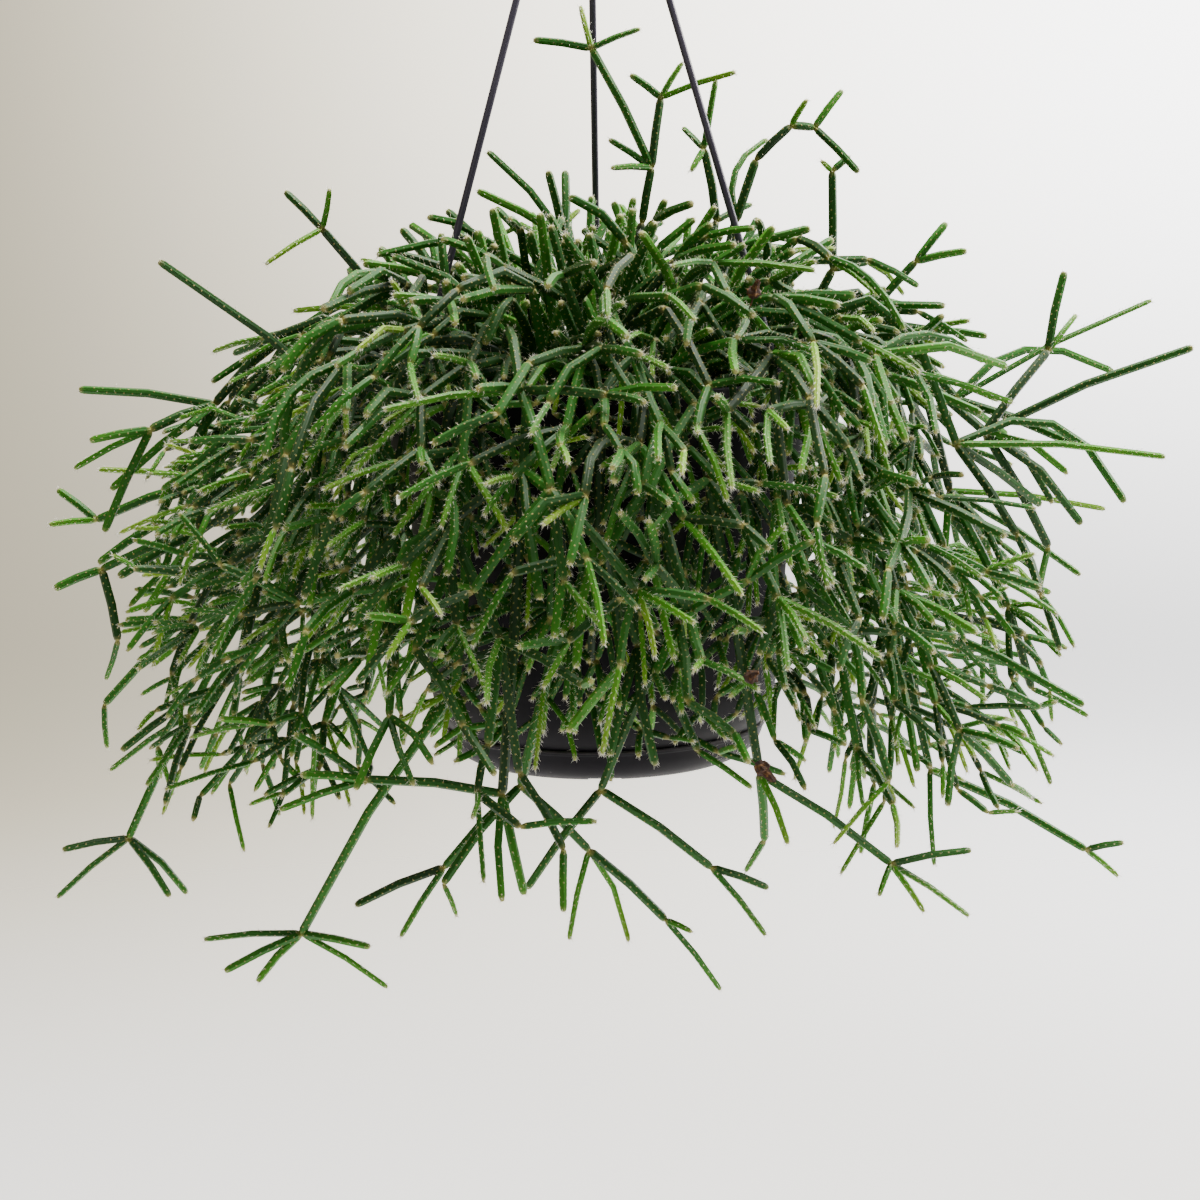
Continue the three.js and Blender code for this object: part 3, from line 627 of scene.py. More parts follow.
# %% The stems of each spray
sprays = [
    (root, [stem for stem in grown.stems if stem.spray == root]) for root in range(root_count)
]
sprays = [(root, own) for root, own in sprays if own]
print("stems", len(grown.stems), "sprays", len(sprays))

# %% [markdown]
# Materials are written as sums. One small class wraps a shader socket, so that `1 - mask` or
# `height * 0.5 + grain` adds the Math nodes by itself, and one method adds every other node.
# Noise, soft steps, ramps and blends come up again and again, so each has a name of its own.

# %% Shader sums
class Wire:
    """A shader value that takes part in Python sums."""
    def __init__(self, tree, socket=None):
        self.tree, self.socket = tree, socket

    def add(self, kind, settings=None, inputs=None, out=0):
        """Adds a node: its settings first, then the values or links of its sockets."""
        node = self.tree.nodes.new("ShaderNode" + kind)
        for name, value in (settings or {}).items():
            if name == "stops":
                ramp = node.color_ramp
                while len(ramp.elements) < len(value):
                    ramp.elements.new(1)
                for element, (place, color) in zip(ramp.elements, value):
                    element.position, element.color = place, (*color, 1)
            else:
                setattr(node, name, value)
        for name, value in (inputs or {}).items():
            if isinstance(value, Wire):
                self.tree.links.new(value.socket, node.inputs[name])
            else:
                node.inputs[name].default_value = value
        return Wire(self.tree, node.outputs[out])

    def math(self, operation, other=None, first=None):
        values = {0: self if first is None else first}
        if other is not None:
            values[1] = other
        return self.add("Math", {"operation": operation}, values)

    def __add__(self, other): return self.math("ADD", other)
    def __radd__(self, other): return self.math("ADD", other)
    def __sub__(self, other): return self.math("SUBTRACT", other)
    def __rsub__(self, other): return self.math("SUBTRACT", self, first=other)
    def __mul__(self, other): return self.math("MULTIPLY", other)
    def __rmul__(self, other): return self.math("MULTIPLY", other)

    def smooth(self, low, high):
        """A soft step, 0 at the first value and 1 at the second."""
        return self.add("MapRange", {"interpolation_type": "SMOOTHSTEP"}, {
            "Value": self, "From Min": low, "From Max": high})

    def noise(self, scale, detail):
        """Noise over the place that this value gives."""
        return self.add("TexNoise", None, {"Vector": self, "Scale": scale, "Detail": detail})

    def ramp(self, *stops):
        return self.add("ValToRGB", {"stops": stops}, {0: self})

    def blend(self, first, second):
        """Mixes two colours, with this value as the share of the second."""
        return self.add("Mix", {"data_type": "RGBA"}, {0: self, 6: first, 7: second}, out=2)

    def split(self):
        """The three parts of a place or a colour, each as a value."""
        return [self.add("SeparateXYZ", None, {0: self}, out=i) for i in range(3)]


def object_place(tree):
    """The object's own coordinates."""
    return tree.add("TexCoord", out=3)


# %% Starting and finishing a material
def new_material(name, constants):
    """A Principled material, with its constant values set on the shader's own sockets."""
    material = bpy.data.materials.new(name)
    material.use_nodes = True
    shader = material.node_tree.nodes["Principled BSDF"]
    for socket, value in constants.items():
        shader.inputs[socket].default_value = value
    return material, shader, Wire(material.node_tree)


def finish_material(tree, shader, color, roughness, height=None, depth=0.0005):
    """Links what varies: colour, roughness and a bumped normal."""
    links = tree.tree.links
    links.new(color.socket, shader.inputs["Base Color"])
    if isinstance(roughness, Wire):
        links.new(roughness.socket, shader.inputs["Roughness"])
    else:
        shader.inputs["Roughness"].default_value = roughness
    if height is not None:
        bump = tree.add("Bump", None, {"Height": height, "Distance": depth})
        links.new(bump.socket, shader.inputs["Normal"])


# %% [markdown]
# The skin of a stem is a matt, slightly waxy green. Old stems are deep green, young ends turn
# yellow-green, and each low rib carries a row of pale woolly dots, the areoles, half a step
# out from the row beside it. The pattern follows the stem, so it reads the stem's own UV map,
# in which one unit across is a rib and one unit along is the step between two dots.

# %% Stem skin
areole_step = 4.2
rib_step = 2.0


def stem_skin():
    """Green by age, with woolly dots along the ribs."""
    material, shader, tree = new_material("stem_skin", {"Specular IOR Level": 0.22})
    u, v, _ = tree.add("UVMap", {"uv_map": "ribs"}).split()
    youth, tone, knot = tree.add("Attribute", {"attribute_name": "growth"}).split()
    rib = u.math("ROUND")
    across = (u - rib) * rib_step
    staggered = v + rib.math("PINGPONG", 1) * 0.5
    along = (staggered - staggered.math("ROUND")) * areole_step
    spot = (across * across + along * along).math("SQRT")
    place = object_place(tree)
    mottle, speckle, fine = place.noise(90, 3), place.noise(330, 1), place.noise(900, 2)
    areole = spot.smooth(0.60, 0.20) * speckle.smooth(0.36, 0.54)
    shade = youth * 0.72 + tone * 0.34 + mottle * 0.22 - 0.13
    green = shade.ramp(
        (0.0, (0.002, 0.016, 0.001)), (0.22, (0.005, 0.047, 0.0015)), (0.45, (0.014, 0.11, 0.003)),
        (0.70, (0.055, 0.22, 0.004)), (1.0, (0.24, 0.40, 0.02)))
    wool = youth.blend((0.36, 0.29, 0.07, 1), (0.78, 0.70, 0.32, 1))
    downy = youth.smooth(0.55, 1.2) * fine.smooth(0.45, 0.62) * 0.3
    pale = (areole * 0.8).math("MAXIMUM", knot * 0.7).math("MAXIMUM", downy)
    color = pale.blend(green, wool)
    ridge = across.math("ABSOLUTE") * -0.4
    height = ridge + areole * 0.5 + fine * 0.12
    finish_material(tree, shader, color, areole * 0.25 + mottle * 0.2 + 0.38, height, 0.0006)
    return material


# %% Bristle finish
def bristle_finish():
    """Straw-coloured on old stems and nearly white on young ones."""
    material, shader, tree = new_material("bristle", {"Specular IOR Level": 0.4})
    youth, tone, _ = tree.add("Attribute", {"attribute_name": "growth"}).split()
    color = (youth * 0.8 + tone * 0.35).ramp(
        (0.0, (0.62, 0.54, 0.36)), (0.35, (0.84, 0.79, 0.62)), (0.8, (0.95, 0.93, 0.84)))
    finish_material(tree, shader, color, 0.55)
    return material


skin, bristle = stem_skin(), bristle_finish()
print("materials", skin.name, bristle.name)

# %% [markdown]
# A few moves come up for every piece that is modelled by hand: choosing it, opening it in edit
# mode, picking points by their place, joining pieces and turning faces outwards. An operator
# acts on all that is selected, so each of these helpers first selects just what it needs.

# %% Choosing, joining and editing objects
def deselect_all():
    bpy.ops.object.select_all(action="DESELECT")


def choose(*pieces):
    """Selects only these objects and makes the first one active."""
    deselect_all()
    for piece in pieces:
        piece.select_set(True)
    bpy.context.view_layer.objects.active = pieces[0]


def join(*pieces):
    """Joins objects to the first of them."""
    choose(*pieces)
    if len(pieces) > 1:
        bpy.ops.object.join()
    return bpy.context.object


def edit(obj):
    """Opens one object in edit mode, to be picked by its points."""
    choose(obj)
    bpy.ops.object.mode_set(mode="EDIT")
    bpy.ops.mesh.select_mode(type="VERT")


def leave_edit():
    bpy.ops.object.mode_set(mode="OBJECT")


def turn_outwards(obj):
    """Makes every face of a closed piece point outwards."""
    edit(obj)
    bpy.ops.mesh.select_all(action="SELECT")
    bpy.ops.mesh.normals_make_consistent(inside=False)
    leave_edit()


def roughen(offset, seed):
    """Shifts the picked points at random and leaves edit mode."""
    bpy.ops.transform.vertex_random(offset=offset, uniform=1.0, normal=0.0, seed=seed)
    leave_edit()


def pick(obj, test):
    """In edit mode, selects the vertices whose place passes a test."""
    leave_edit()
    for part in [*obj.data.polygons, *obj.data.edges]:
        part.select = False
    for vertex in obj.data.vertices:
        vertex.select = bool(test(vertex.co))
    bpy.ops.object.mode_set(mode="EDIT")
    bpy.ops.mesh.select_mode(type="VERT")


# %% [markdown]
# A stem is modelled by hand, 60 mm long and of unit radius: a cylinder whose every second edge
# is drawn in to leave low ribs, cut across where the ends begin to narrow, pinched at its joint
# and rounded at its tip. All stems are copies of three such models: one with rings enough to
# bend, one for straight stems and one with fewer ribs for twigs. A copy keeps the ends as they
# are, is stretched in the middle, and is bent along its own bowed line.

# %% A stem modelled by hand
model_length = 60
groove_depth = 0.87
end_widths = ((0, 0.56), (2.6, 0.96), (57.4, 0.94), (59.3, 0.74), (60, 0.42))


def model_stem(rib_count, ring_heights):
    """A stem for the others to copy. X and Y in radii, Z in millimetres."""
    bpy.ops.mesh.primitive_cylinder_add(
        vertices=2 * rib_count, radius=1, depth=model_length, location=(0, 0, model_length / 2))
    obj = bpy.context.object
    bpy.ops.object.transform_apply(location=True)
    edit(obj)
    pick(obj, lambda co: round(math.atan2(co.y, co.x) * rib_count / math.pi) % 2 == 1)
    bpy.ops.transform.resize(value=(groove_depth, groove_depth, 1))
    for z in ring_heights:
        bpy.ops.mesh.select_all(action="SELECT")
        bpy.ops.mesh.bisect(plane_co=(0, 0, z), plane_no=(0, 0, 1))
    for z, share in end_widths:
        pick(obj, lambda co: abs(co.z - z) < 0.01)
        bpy.ops.transform.resize(value=(share, share, 1))
    leave_edit()
    return obj


# %% [markdown]
# Bending a copy is plain geometry. The bowed line of a stem lies in one plane, so one normal
# of that plane and the line's own heading give a frame at every point, with no twist. The
# model's points are read once as an array, and a copy is the same array moved to the line.

# %% The stem models as arrays
knot_reach = 1.0
cap_length = 3.5


class StemModel:
    """A modelled stem as arrays, ready to be copied many times."""
    def __init__(self, rib_count, ring_heights):
        obj = model_stem(rib_count, ring_heights)
        points = np.array([vertex.co for vertex in obj.data.vertices])
        faces = [list(face.vertices) for face in obj.data.polygons]
        bpy.data.objects.remove(obj)
        self.ribs = rib_count
        self.turn = np.arctan2(points[:, 1], points[:, 0])
        self.radius = np.hypot(points[:, 0], points[:, 1])
        self.z = points[:, 2]
        self.knot = np.clip(1 - np.minimum(self.z, model_length - self.z) / knot_reach, 0, 1)
        self.sizes = np.array([len(face) for face in faces])
        self.corners = np.concatenate(faces)
        self.corner_ribs = np.concatenate([self.ribs_of(face) for face in faces])

    def ribs_of(self, face):
        """The rib coordinate of a face's corners, with no jump from the last rib to the first."""
        if len(face) > 4:
            return np.full(len(face), 0.5)
        ribs = self.turn[face] * self.ribs / (2 * math.pi)
        return np.where(ribs < ribs.max() - self.ribs / 2, ribs + self.ribs, ribs)

    def heights(self, length):
        """The model's heights for a stem of another length: the ends stay, the middle stretches."""
        stretch = (length - 2 * cap_length) / (model_length - 2 * cap_length)
        middle = cap_length + (self.z - cap_length) * stretch
        upper = length - model_length + self.z
        return np.where(self.z < cap_length, self.z,
                        np.where(self.z > model_length - cap_length, upper, middle))


long_model = StemModel(6, (2.6, 17, 30, 43, 57.4, 59.3))
short_model = StemModel(6, (2.6, 30, 57.4, 59.3))
twig_model = StemModel(5, (2.6, 30, 57.4))
for model in (long_model, short_model, twig_model):
    print("stem model:", model.ribs, "ribs", len(model.z), "points", len(model.sizes), "faces")


# %% [markdown]
# No two stems look alike. Free tips are young, and the further in a stem sits, the older and
# darker it is. Each stem draws its youth at both ends, a tone, a turn about its own line and a
# width, and the mesh carries them to the skin as an attribute.

# %% The looks of each stem
skin_share = young_share = 0.84
young_from = 0.62
rng = np.random.default_rng(60417)


def dress(stem):
    """Gives a stem its length, youth at both ends, tone, roll, width and model."""
    across = math.sqrt((stem.end - stem.start) @ (stem.end - stem.start))
    stem.length = across + 8 / 3 * (stem.bow @ stem.bow) / across
    stem.tone = rng.random()
    stem.roll = rng.random() * 2 * math.pi
    stem.phase = rng.random() * 4
    share = rng.random()
    if stem.children == 0:
        stem.youth_tip = 0.34 + 0.66 * share ** 1.2 if stem.order > 1 else 0.3 + 0.3 * share
        stem.youth_base = stem.youth_tip * (0.3 + 0.4 * share)
    else:
        stem.youth_tip = 0.05 * stem.order + 0.16 * share
        stem.youth_base = stem.youth_tip * 0.7
    young = stem.children == 0 and stem.youth_tip > young_from
    stem.taper = 0.42 * max(0, stem.youth_tip - 0.35) if stem.children == 0 else 0
    stem.width = stem.radius * skin_share * (young_share if young else 1)
    if stem.index >= first_twig:
        stem.model = twig_model
    else:
        stem.model = long_model if len(stem.points) > 3 else short_model


# %% Bending a copy along its line
def stem_frame(stem, share):
    """The line's points, headings and two sideways directions at each share of its length."""
    chord = stem.end - stem.start
    helper = stem.bow if stem.bow @ stem.bow > 0.25 else np.array([0.31, 0.17, 0.93])
    side = unit(np.cross(chord, helper))
    heading = unit(chord + stem.bow * (4 * (1 - 2 * np.asarray(share)[:, None])))
    lift = np.cross(side, heading)
    return stem.along(share), heading, lift, np.broadcast_to(side, lift.shape)


def bend_copy(stem):
    """One stem's points, growth values and the height of each point along it."""
    model = stem.model
    z = model.heights(stem.length)
    place, _, lift, side = stem_frame(stem, z / stem.length)
    turn = (model.turn + stem.roll)[:, None]
    width = stem.width * (1 - stem.taper * z / stem.length)
    arm = (lift * np.cos(turn) + side * np.sin(turn)) * (model.radius * width)[:, None]
    youth = stem.youth_base + (stem.youth_tip - stem.youth_base) * z / stem.length
    growth = np.stack([youth, np.full(len(z), stem.tone), model.knot, np.ones(len(z))], 1)
    return place + arm, growth, z


# %% [markdown]
# Each areole holds a few fine bristles. On old stems they are short and few, on young stems
# they are white and dense and lie forward, and a tuft crowns every free tip. A hair system
# would be lost in the export, so each bristle is a three-sided needle. It stands on the very
# dots that the skin's material draws, because both count the same ribs.

# %% Bristles
needle_sides = 3
needle_width = 0.105
old_bristle, young_bristle = 1.9, 2.8
tuft_count = 12
tuft_length = (1.6, 3.2)


def areole_places(stem):
    """Share along and turn round the stem of each dot that the skin shows."""
    shares, turns = [], []
    ribs = stem.model.ribs
    for rib in range(ribs):
        shift = 0.5 * (rib % 2)
        first = math.ceil(stem.phase + shift)
        last = math.floor(stem.phase + shift + stem.length / areole_step)
        rows = np.arange(first, last + 1) - stem.phase - shift
        shares.append(rows * areole_step / stem.length)
        turns.append(np.full(len(rows), rib * 2 * math.pi / ribs))
    return np.concatenate(shares), np.concatenate(turns)


def grow_bristles(stem):
    """Root, way, length and growth values of every bristle of a stem."""
    share, turn = areole_places(stem)
    youth = stem.youth_base + (stem.youth_tip - stem.youth_base) * share
    wanted = 0.36 + 2.3 * np.clip(youth - 0.3, 0, 1)
    count = (wanted + rng.random(len(share))).astype(int)
    share, turn, youth = (np.repeat(values, count) for values in (share, turn, youth))
    share = np.clip(share + rng.normal(0, 0.3, len(share)) / stem.length, 0, 1)
    turn = turn + rng.normal(0, 0.14, len(turn))
    fresh = np.clip(youth * 1.4 - 0.3, 0, 1)
    long = old_bristle + (young_bristle - old_bristle) * fresh
    long = long * rng.uniform(0.6, 1.25, len(share))
    lean = rng.normal(0.35, 0.4, len(share)) + 1.1 * fresh
    sway = rng.normal(0, 0.35, len(share))
    if stem.children == 0:
        turns = rng.random(tuft_count) * 2 * math.pi
        share = np.append(share, 1 - rng.random(tuft_count) * 1.8 / stem.length)
        turn = np.append(turn, turns)
        youth = np.append(youth, np.full(tuft_count, 0.55 + 0.45 * stem.youth_tip))
        long = np.append(long, rng.uniform(*tuft_length, tuft_count) * (0.6 + 0.4 * stem.youth_tip))
        lean = np.append(lean, rng.uniform(0.8, 3.5, tuft_count))
        sway = np.append(sway, rng.normal(0, 0.3, tuft_count))
    place, heading, lift, side = stem_frame(stem, share)
    turn = (turn + stem.roll)[:, None]
    out = lift * np.cos(turn) + side * np.sin(turn)
    aside = side * np.cos(turn) - lift * np.sin(turn)
    narrowing = np.clip((1 - share) * stem.length / 2.2, 0.45, 1)
    narrowing = narrowing * (1 - stem.taper * share)
    root = place + out * (stem.width * 0.9 * narrowing)[:, None]
    way = unit(out + heading * lean[:, None] + aside * sway[:, None])
    return root, way, long, np.stack([youth, np.full(len(share), stem.tone)], 1)


# %% Needles
def needles(root, way, long, growth):
    """All of a spray's bristles as points: three round each root and one at each tip."""
    across = unit(np.cross(way, [0.3, 0.5, 0.81]))
    other = np.cross(way, across)
    corners = []
    for i in range(needle_sides):
        turn = 2 * math.pi * i / needle_sides
        corners.append(root + (across * math.cos(turn) + other * math.sin(turn)) * needle_width)
    corners.append(root + way * long[:, None])
    points = np.stack(corners, 1).reshape(-1, 3)
    values = np.concatenate([growth, np.zeros((len(root), 1)), np.ones((len(root), 1))], 1)
    return points, np.repeat(values, needle_sides + 1, 0)


# %% [markdown]
# A spray is one piece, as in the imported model. Joining a hundred objects by operators would be
# slow, so its stems and bristles are gathered as arrays and written into one mesh at once. The
# mesh also gets the rib coordinates as a UV map, and youth, tone and knots as an attribute.

# %% One mesh for each spray
stub_sinks, stub_stands = 16, 2.5


def to_frame(points):
    """From millimetres above the rim to the frame's metres below the hook."""
    return np.asarray(points) * MM - [0, 0, hanger_drop]


def mesh_from(name, points, sizes, corners, which, ribs, growth):
    """A spray's mesh from arrays: points, face sizes and corners, materials and attributes."""
    mesh = bpy.data.meshes.new(name)
    mesh.vertices.add(len(points))
    mesh.vertices.foreach_set("co", points.astype(np.float32).ravel())
    mesh.loops.add(len(corners))
    mesh.loops.foreach_set("vertex_index", corners.astype(np.int32))
    mesh.polygons.add(len(sizes))
    mesh.polygons.foreach_set("loop_start", (np.cumsum(sizes) - sizes).astype(np.int32))
    mesh.polygons.foreach_set("loop_total", sizes.astype(np.int32))
    mesh.polygons.foreach_set("material_index", which.astype(np.int32))
    mesh.polygons.foreach_set("use_smooth", np.ones(len(sizes), bool))
    mesh.materials.append(skin)
    mesh.materials.append(bristle)
    mesh.update(calc_edges=True)
    mesh.uv_layers.new(name="ribs").data.foreach_set("uv", ribs.astype(np.float32).ravel())
    values = mesh.attributes.new("growth", "FLOAT_COLOR", "POINT")
    values.data.foreach_set("color", growth.astype(np.float32).ravel())
    mesh.validate()
    obj = bpy.data.objects.new(name, mesh)
    bpy.context.scene.collection.objects.link(obj)
    return obj


# %% Gathering a spray
def build_spray(name, own):
    """All stems and bristles of one rooted spray, in one mesh."""
    points, growth, corners, sizes, ribs, which = [], [], [], [], [], []
    base = 0
    for stem in own:
        model = stem.model
        copy, values, z = bend_copy(stem)
        points.append(copy)
        growth.append(values)
        corners.append(model.corners + base)
        sizes.append(model.sizes)
        which.append(np.zeros(len(model.sizes)))
        along = z[model.corners] / areole_step + stem.phase
        ribs.append(np.stack([model.corner_ribs, along], 1))
        base += len(copy)
    hairs = [np.concatenate(part) for part in zip(*(grow_bristles(stem) for stem in own))]
    copy, values = needles(*hairs)
    count = len(hairs[0])
    first = base + (needle_sides + 1) * np.arange(count)
    for i in range(needle_sides):
        beside = first + (i + 1) % needle_sides
        corners.append(np.stack([first + i, beside, first + needle_sides], 1).ravel())
    corners.append(np.stack([first + 2, first + 1, first], 1).ravel())
    faces = count * (needle_sides + 1)
    points.append(copy)
    growth.append(values)
    sizes.append(np.full(faces, 3))
    which.append(np.ones(faces))
    ribs.append(np.zeros((faces * 3, 2)))
    spray = mesh_from(name, to_frame(np.concatenate(points)), np.concatenate(sizes),
                      np.concatenate(corners), np.concatenate(which), np.concatenate(ribs),
                      np.concatenate(growth))
    return spray, count


def root_stub(root):
    """The short upright foot of a spray, sunk in the soil."""
    top = root_tops[root]
    stub = Stem(root, 0, None, top - [0, 0, stub_sinks], top + [0, 0, stub_stands], np.zeros(3))
    stub.children = 1
    dress(stub)
    stub.youth_tip = stub.youth_base = 0
    stub.width = stub_radius * skin_share
    return stub


# %% The sprays
for stem in grown.stems:
    dress(stem)
hair_total = triangle_total = most_triangles = 0
for i, (root, own) in enumerate(sprays):
    node = f"spray_{i + 1:02d}"
    spray, count = build_spray(node + "_stems", own + [root_stub(root)])
    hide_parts(node)
    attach(spray, "root")
    hair_total += count
    triangles = len(spray.data.loops) - 2 * len(spray.data.polygons)
    triangle_total += triangles
    most_triangles = max(most_triangles, triangles)
print("bristles", hair_total, "triangles", triangle_total, "most in one spray", most_triangles)

# %% [markdown]
# The pot is moulded in one shot: a thin tapered wall, a round foot, and a flat rim from which a
# deep skirt hangs. It could be spun from a drawn profile. Here it is raised as on a wheel: a
# circle is extruded ring by ring along the profile, and a small bevel softens every edge, since
# moulded plastic never has a knife edge. The slots for the hanger's feet and the drain holes
# are cut last.

# %% Raising a turned piece ring by ring
def curve_between(start, pull, end, steps):
    """Points of a smooth bend from start to end, drawn towards pull. Start is left out."""
    points = []
    for i in range(1, steps + 1):
        t = i / steps
        points.append(tuple((1 - t) ** 2 * a + 2 * t * (1 - t) * b + t * t * c
                            for a, b, c in zip(start, pull, end)))
    return points


def raise_rings(name, rings, segments):
    """A circle extruded through (radius, height) rings in rim millimetres, closed at both ends."""
    deselect_all()
    radius, height = rings[0]
    bpy.ops.mesh.primitive_circle_add(vertices=segments, radius=radius * MM,
                                      location=(0, 0, height * MM - hanger_drop))
    obj = bpy.context.object
    obj.name = name
    bpy.ops.object.transform_apply(location=True)
    edit(obj)
    bpy.ops.mesh.select_all(action="SELECT")
    bpy.ops.mesh.edge_face_add()
    for next_radius, next_height in rings[1:]:
        bpy.ops.mesh.extrude_region_move(
            TRANSFORM_OT_translate={"value": (0, 0, (next_height - height) * MM)})
        bpy.ops.transform.resize(value=(next_radius / radius, next_radius / radius, 1))
        radius, height = next_radius, next_height
    leave_edit()
    turn_outwards(obj)
    return obj


# %% Bevels, smooth faces, cuts and boxes
def apply_bevel(obj, width, segments=2, angle=30):
    """Rounds the hard edges of a piece with an applied Bevel modifier."""
    choose(obj)
    bevel = obj.modifiers.new("soft_edges", "BEVEL")
    bevel.width = width * MM
    bevel.segments = segments
    bevel.limit_method = "ANGLE"
    bevel.angle_limit = math.radians(angle)
    bpy.ops.object.modifier_apply(modifier=bevel.name)


def smooth(obj, angle=40):
    choose(obj)
    bpy.ops.object.shade_smooth_by_angle(angle=math.radians(angle))


def cut_away(obj, cutters):
    """Cuts the joined cutters out of a piece."""
    cutter = join(*cutters)
    choose(obj)
    cut = obj.modifiers.new("cut", "BOOLEAN")
    cut.operation = "DIFFERENCE"
    cut.object = cutter
    bpy.ops.object.modifier_apply(modifier=cut.name)
    bpy.data.objects.remove(cutter)


def add_box(width, depth, height, centre, turn=0.0):
    """A box in rim millimetres, turned about the pot's axis, with its place in its mesh."""
    deselect_all()
    bpy.ops.mesh.primitive_cube_add(size=1)
    obj = bpy.context.object
    obj.scale = (width * MM, depth * MM, height * MM)
    bpy.ops.object.transform_apply(scale=True)
    obj.location = (centre[0] * MM, centre[1] * MM, 0)
    bpy.ops.object.transform_apply(location=True)
    obj.rotation_euler.z = math.radians(turn)
    obj.location.z = centre[2] * MM - hanger_drop
    bpy.ops.object.transform_apply(location=True, rotation=True)
    return obj


# %% Handing a piece over
def hand_over(obj, material, slot, *nodes):
    """Gives a finished piece its material, its body and the nodes it stands for. The slot is not
    used.
    """
    obj.data.materials.clear()
    obj.data.materials.append(material)
    if nodes:
        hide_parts(*nodes)
    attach(obj, "root")


# %% Pot
pot_segments = 112
floor_top = -175.4
drain_count, drain_circle, drain_radius = 6, 38, 4.5
pot_rings = [
    (70, floor_top), (75, -172.5),
    *curve_between((75, -172.5), (84.2, -162), (86, -152), 4),
    (89.5, -115), (inner_wall_top, 0),
    (rim_radius, 0), (rim_radius, -38), (102.5, -38), (102.5, -2.2), (98.5, -2.2),
    (98.5, -38), (91.5, -115), (88, -152),
    *curve_between((88, -152), (86.4, -168.0), (79.8, -174.6), 7),
    (76.5, -175.6), (71, -178), (60, -178), (60, -187.7), (57.5, -187.7), (57.5, -178),
]


def build_pot():
    """The turned shell, with three slots for the strands' feet and six drain holes."""
    pot = raise_rings("pot_shell", pot_rings, pot_segments)
    apply_bevel(pot, 0.45)
    slots = [add_box(2.9, 5.7, 8, (foot_circle, 0, -1), angle) for angle in strand_angles]
    drains = []
    for i in range(drain_count):
        x, y, _ = on_circle(drain_circle, 360 / drain_count * i, 0)
        bpy.ops.mesh.primitive_cylinder_add(
            vertices=24, radius=drain_radius * MM, depth=12 * MM,
            location=(x * MM, y * MM, -177 * MM - hanger_drop))
        drains.append(bpy.context.object)
    cut_away(pot, slots)
    cut_away(pot, drains)
    smooth(pot)
    return pot


pot = build_pot()
print("pot", len(pot.data.polygons), "faces")

# %% [markdown]
# The saucer clips to the foot and follows its curve, with a rounded lip that stands a little
# proud: in the photograph that lip shows as one thin pale line round the dark plastic.

# %% Saucer
# The top of the lip is painted paler in the saucer's plastic: a painted highlight along the lit
# lip.
saucer_lip = -173.6
saucer_rings = [
    (65, -188), (71.6, -184), (78.0, -177.2), (79.9, saucer_rim_height + 0.1), (80.4, -173.7),
    (81.9, saucer_lip), (82.6, -174.3), (82.4, -175.3), (81.6, -176.0),
    *curve_between((81.6, -176.0), (79.4, -186.6), (69.5, saucer_bottom), 7),
]


def build_saucer():
    """The turned saucer, with three shallow notches under its foot."""
    saucer = raise_rings("saucer_shell", saucer_rings, pot_segments)
    apply_bevel(saucer, 0.2)
    cut_away(saucer, [add_box(6, 16, 2, (69, 0, saucer_bottom), 30 + 120 * i) for i in range(3)])
    smooth(saucer)
    return saucer


saucer = build_saucer()
print("saucer", len(saucer.data.polygons), "faces")

# %% [markdown]
# The soil is coarse peat. Its top is raised in narrow rings and then roughened, and crumbs and
# bark bits lie on it. They are one small rock, modelled once and copied with its own turn,
# size and stretch.

# %% Soil
soil_gap = 0.35
crumb_circle, crumb_count = 91, 420


def build_soil():
    """Rings from the middle outwards and down the pot's inside, roughened on top."""
    inner = [(12, soil_top)] + [(12 + 4 * i, soil_top) for i in range(1, 20)]
    wall = [(inner_wall_top - 1.2, soil_top - 3), (89.5 - soil_gap, -115), (86 - soil_gap, -152),
            (75 - soil_gap, -172.3), (70 - soil_gap, floor_top + soil_gap)]
    soil = raise_rings("soil_bed", inner + wall, 96)
    edit(soil)
    pick(soil, lambda co: co.z > (soil_top - 0.1) * MM - hanger_drop)
    roughen(1.6 * MM, 7)
    return soil


# %% Crumbs
def model_crumb():
    """A rough rock of unit radius."""
    deselect_all()
    bpy.ops.mesh.primitive_ico_sphere_add(subdivisions=1, radius=1)
    crumb = bpy.context.object
    edit(crumb)
    bpy.ops.mesh.select_all(action="SELECT")
    roughen(0.35, 3)
    return crumb


def scatter_crumbs(soil, count):
    """Copies of one crumb, strewn over the soil's top and joined to it."""
    crumb = model_crumb()
    shape = np.array([vertex.co for vertex in crumb.data.vertices])
    faces = np.array([list(face.vertices) for face in crumb.data.polygons])
    bpy.data.objects.remove(crumb)
    points, corners = [], []
    for i in range(count):
        out = crumb_circle * math.sqrt(rng.random())
        turn = rng.random() * 2 * math.pi
        stretch = rng.uniform(0.7, 2.6) * np.array([1, rng.uniform(0.5, 1), rng.uniform(0.4, 0.8)])
        spin = Matrix.Rotation(rng.random() * math.pi, 3, Vector(rng.normal(size=3)).normalized())
        place = np.array([out * math.cos(turn), out * math.sin(turn), soil_top + 0.6])
        points.append((shape * stretch) @ np.array(spin).T + place)
        corners.append(faces + i * len(shape))
    mesh = bpy.data.meshes.new("crumbs")
    mesh.from_pydata(to_frame(np.concatenate(points)).tolist(), [],
                     np.concatenate(corners).tolist())
    crumbs = bpy.data.objects.new("crumbs", mesh)
    bpy.context.scene.collection.objects.link(crumbs)
    join(soil, crumbs)


soil = build_soil()
scatter_crumbs(soil, crumb_count)
print("soil", len(soil.data.polygons), "faces")

# %% [markdown]
# The hanger is moulded too. Three strands clip into slots in the rim with a flat foot, a collar
# above and a barb below, and their tops plug into a small hub that carries an open hook. The
# strands are round rods with softened ends, and the hook is a circle spun along its bend.

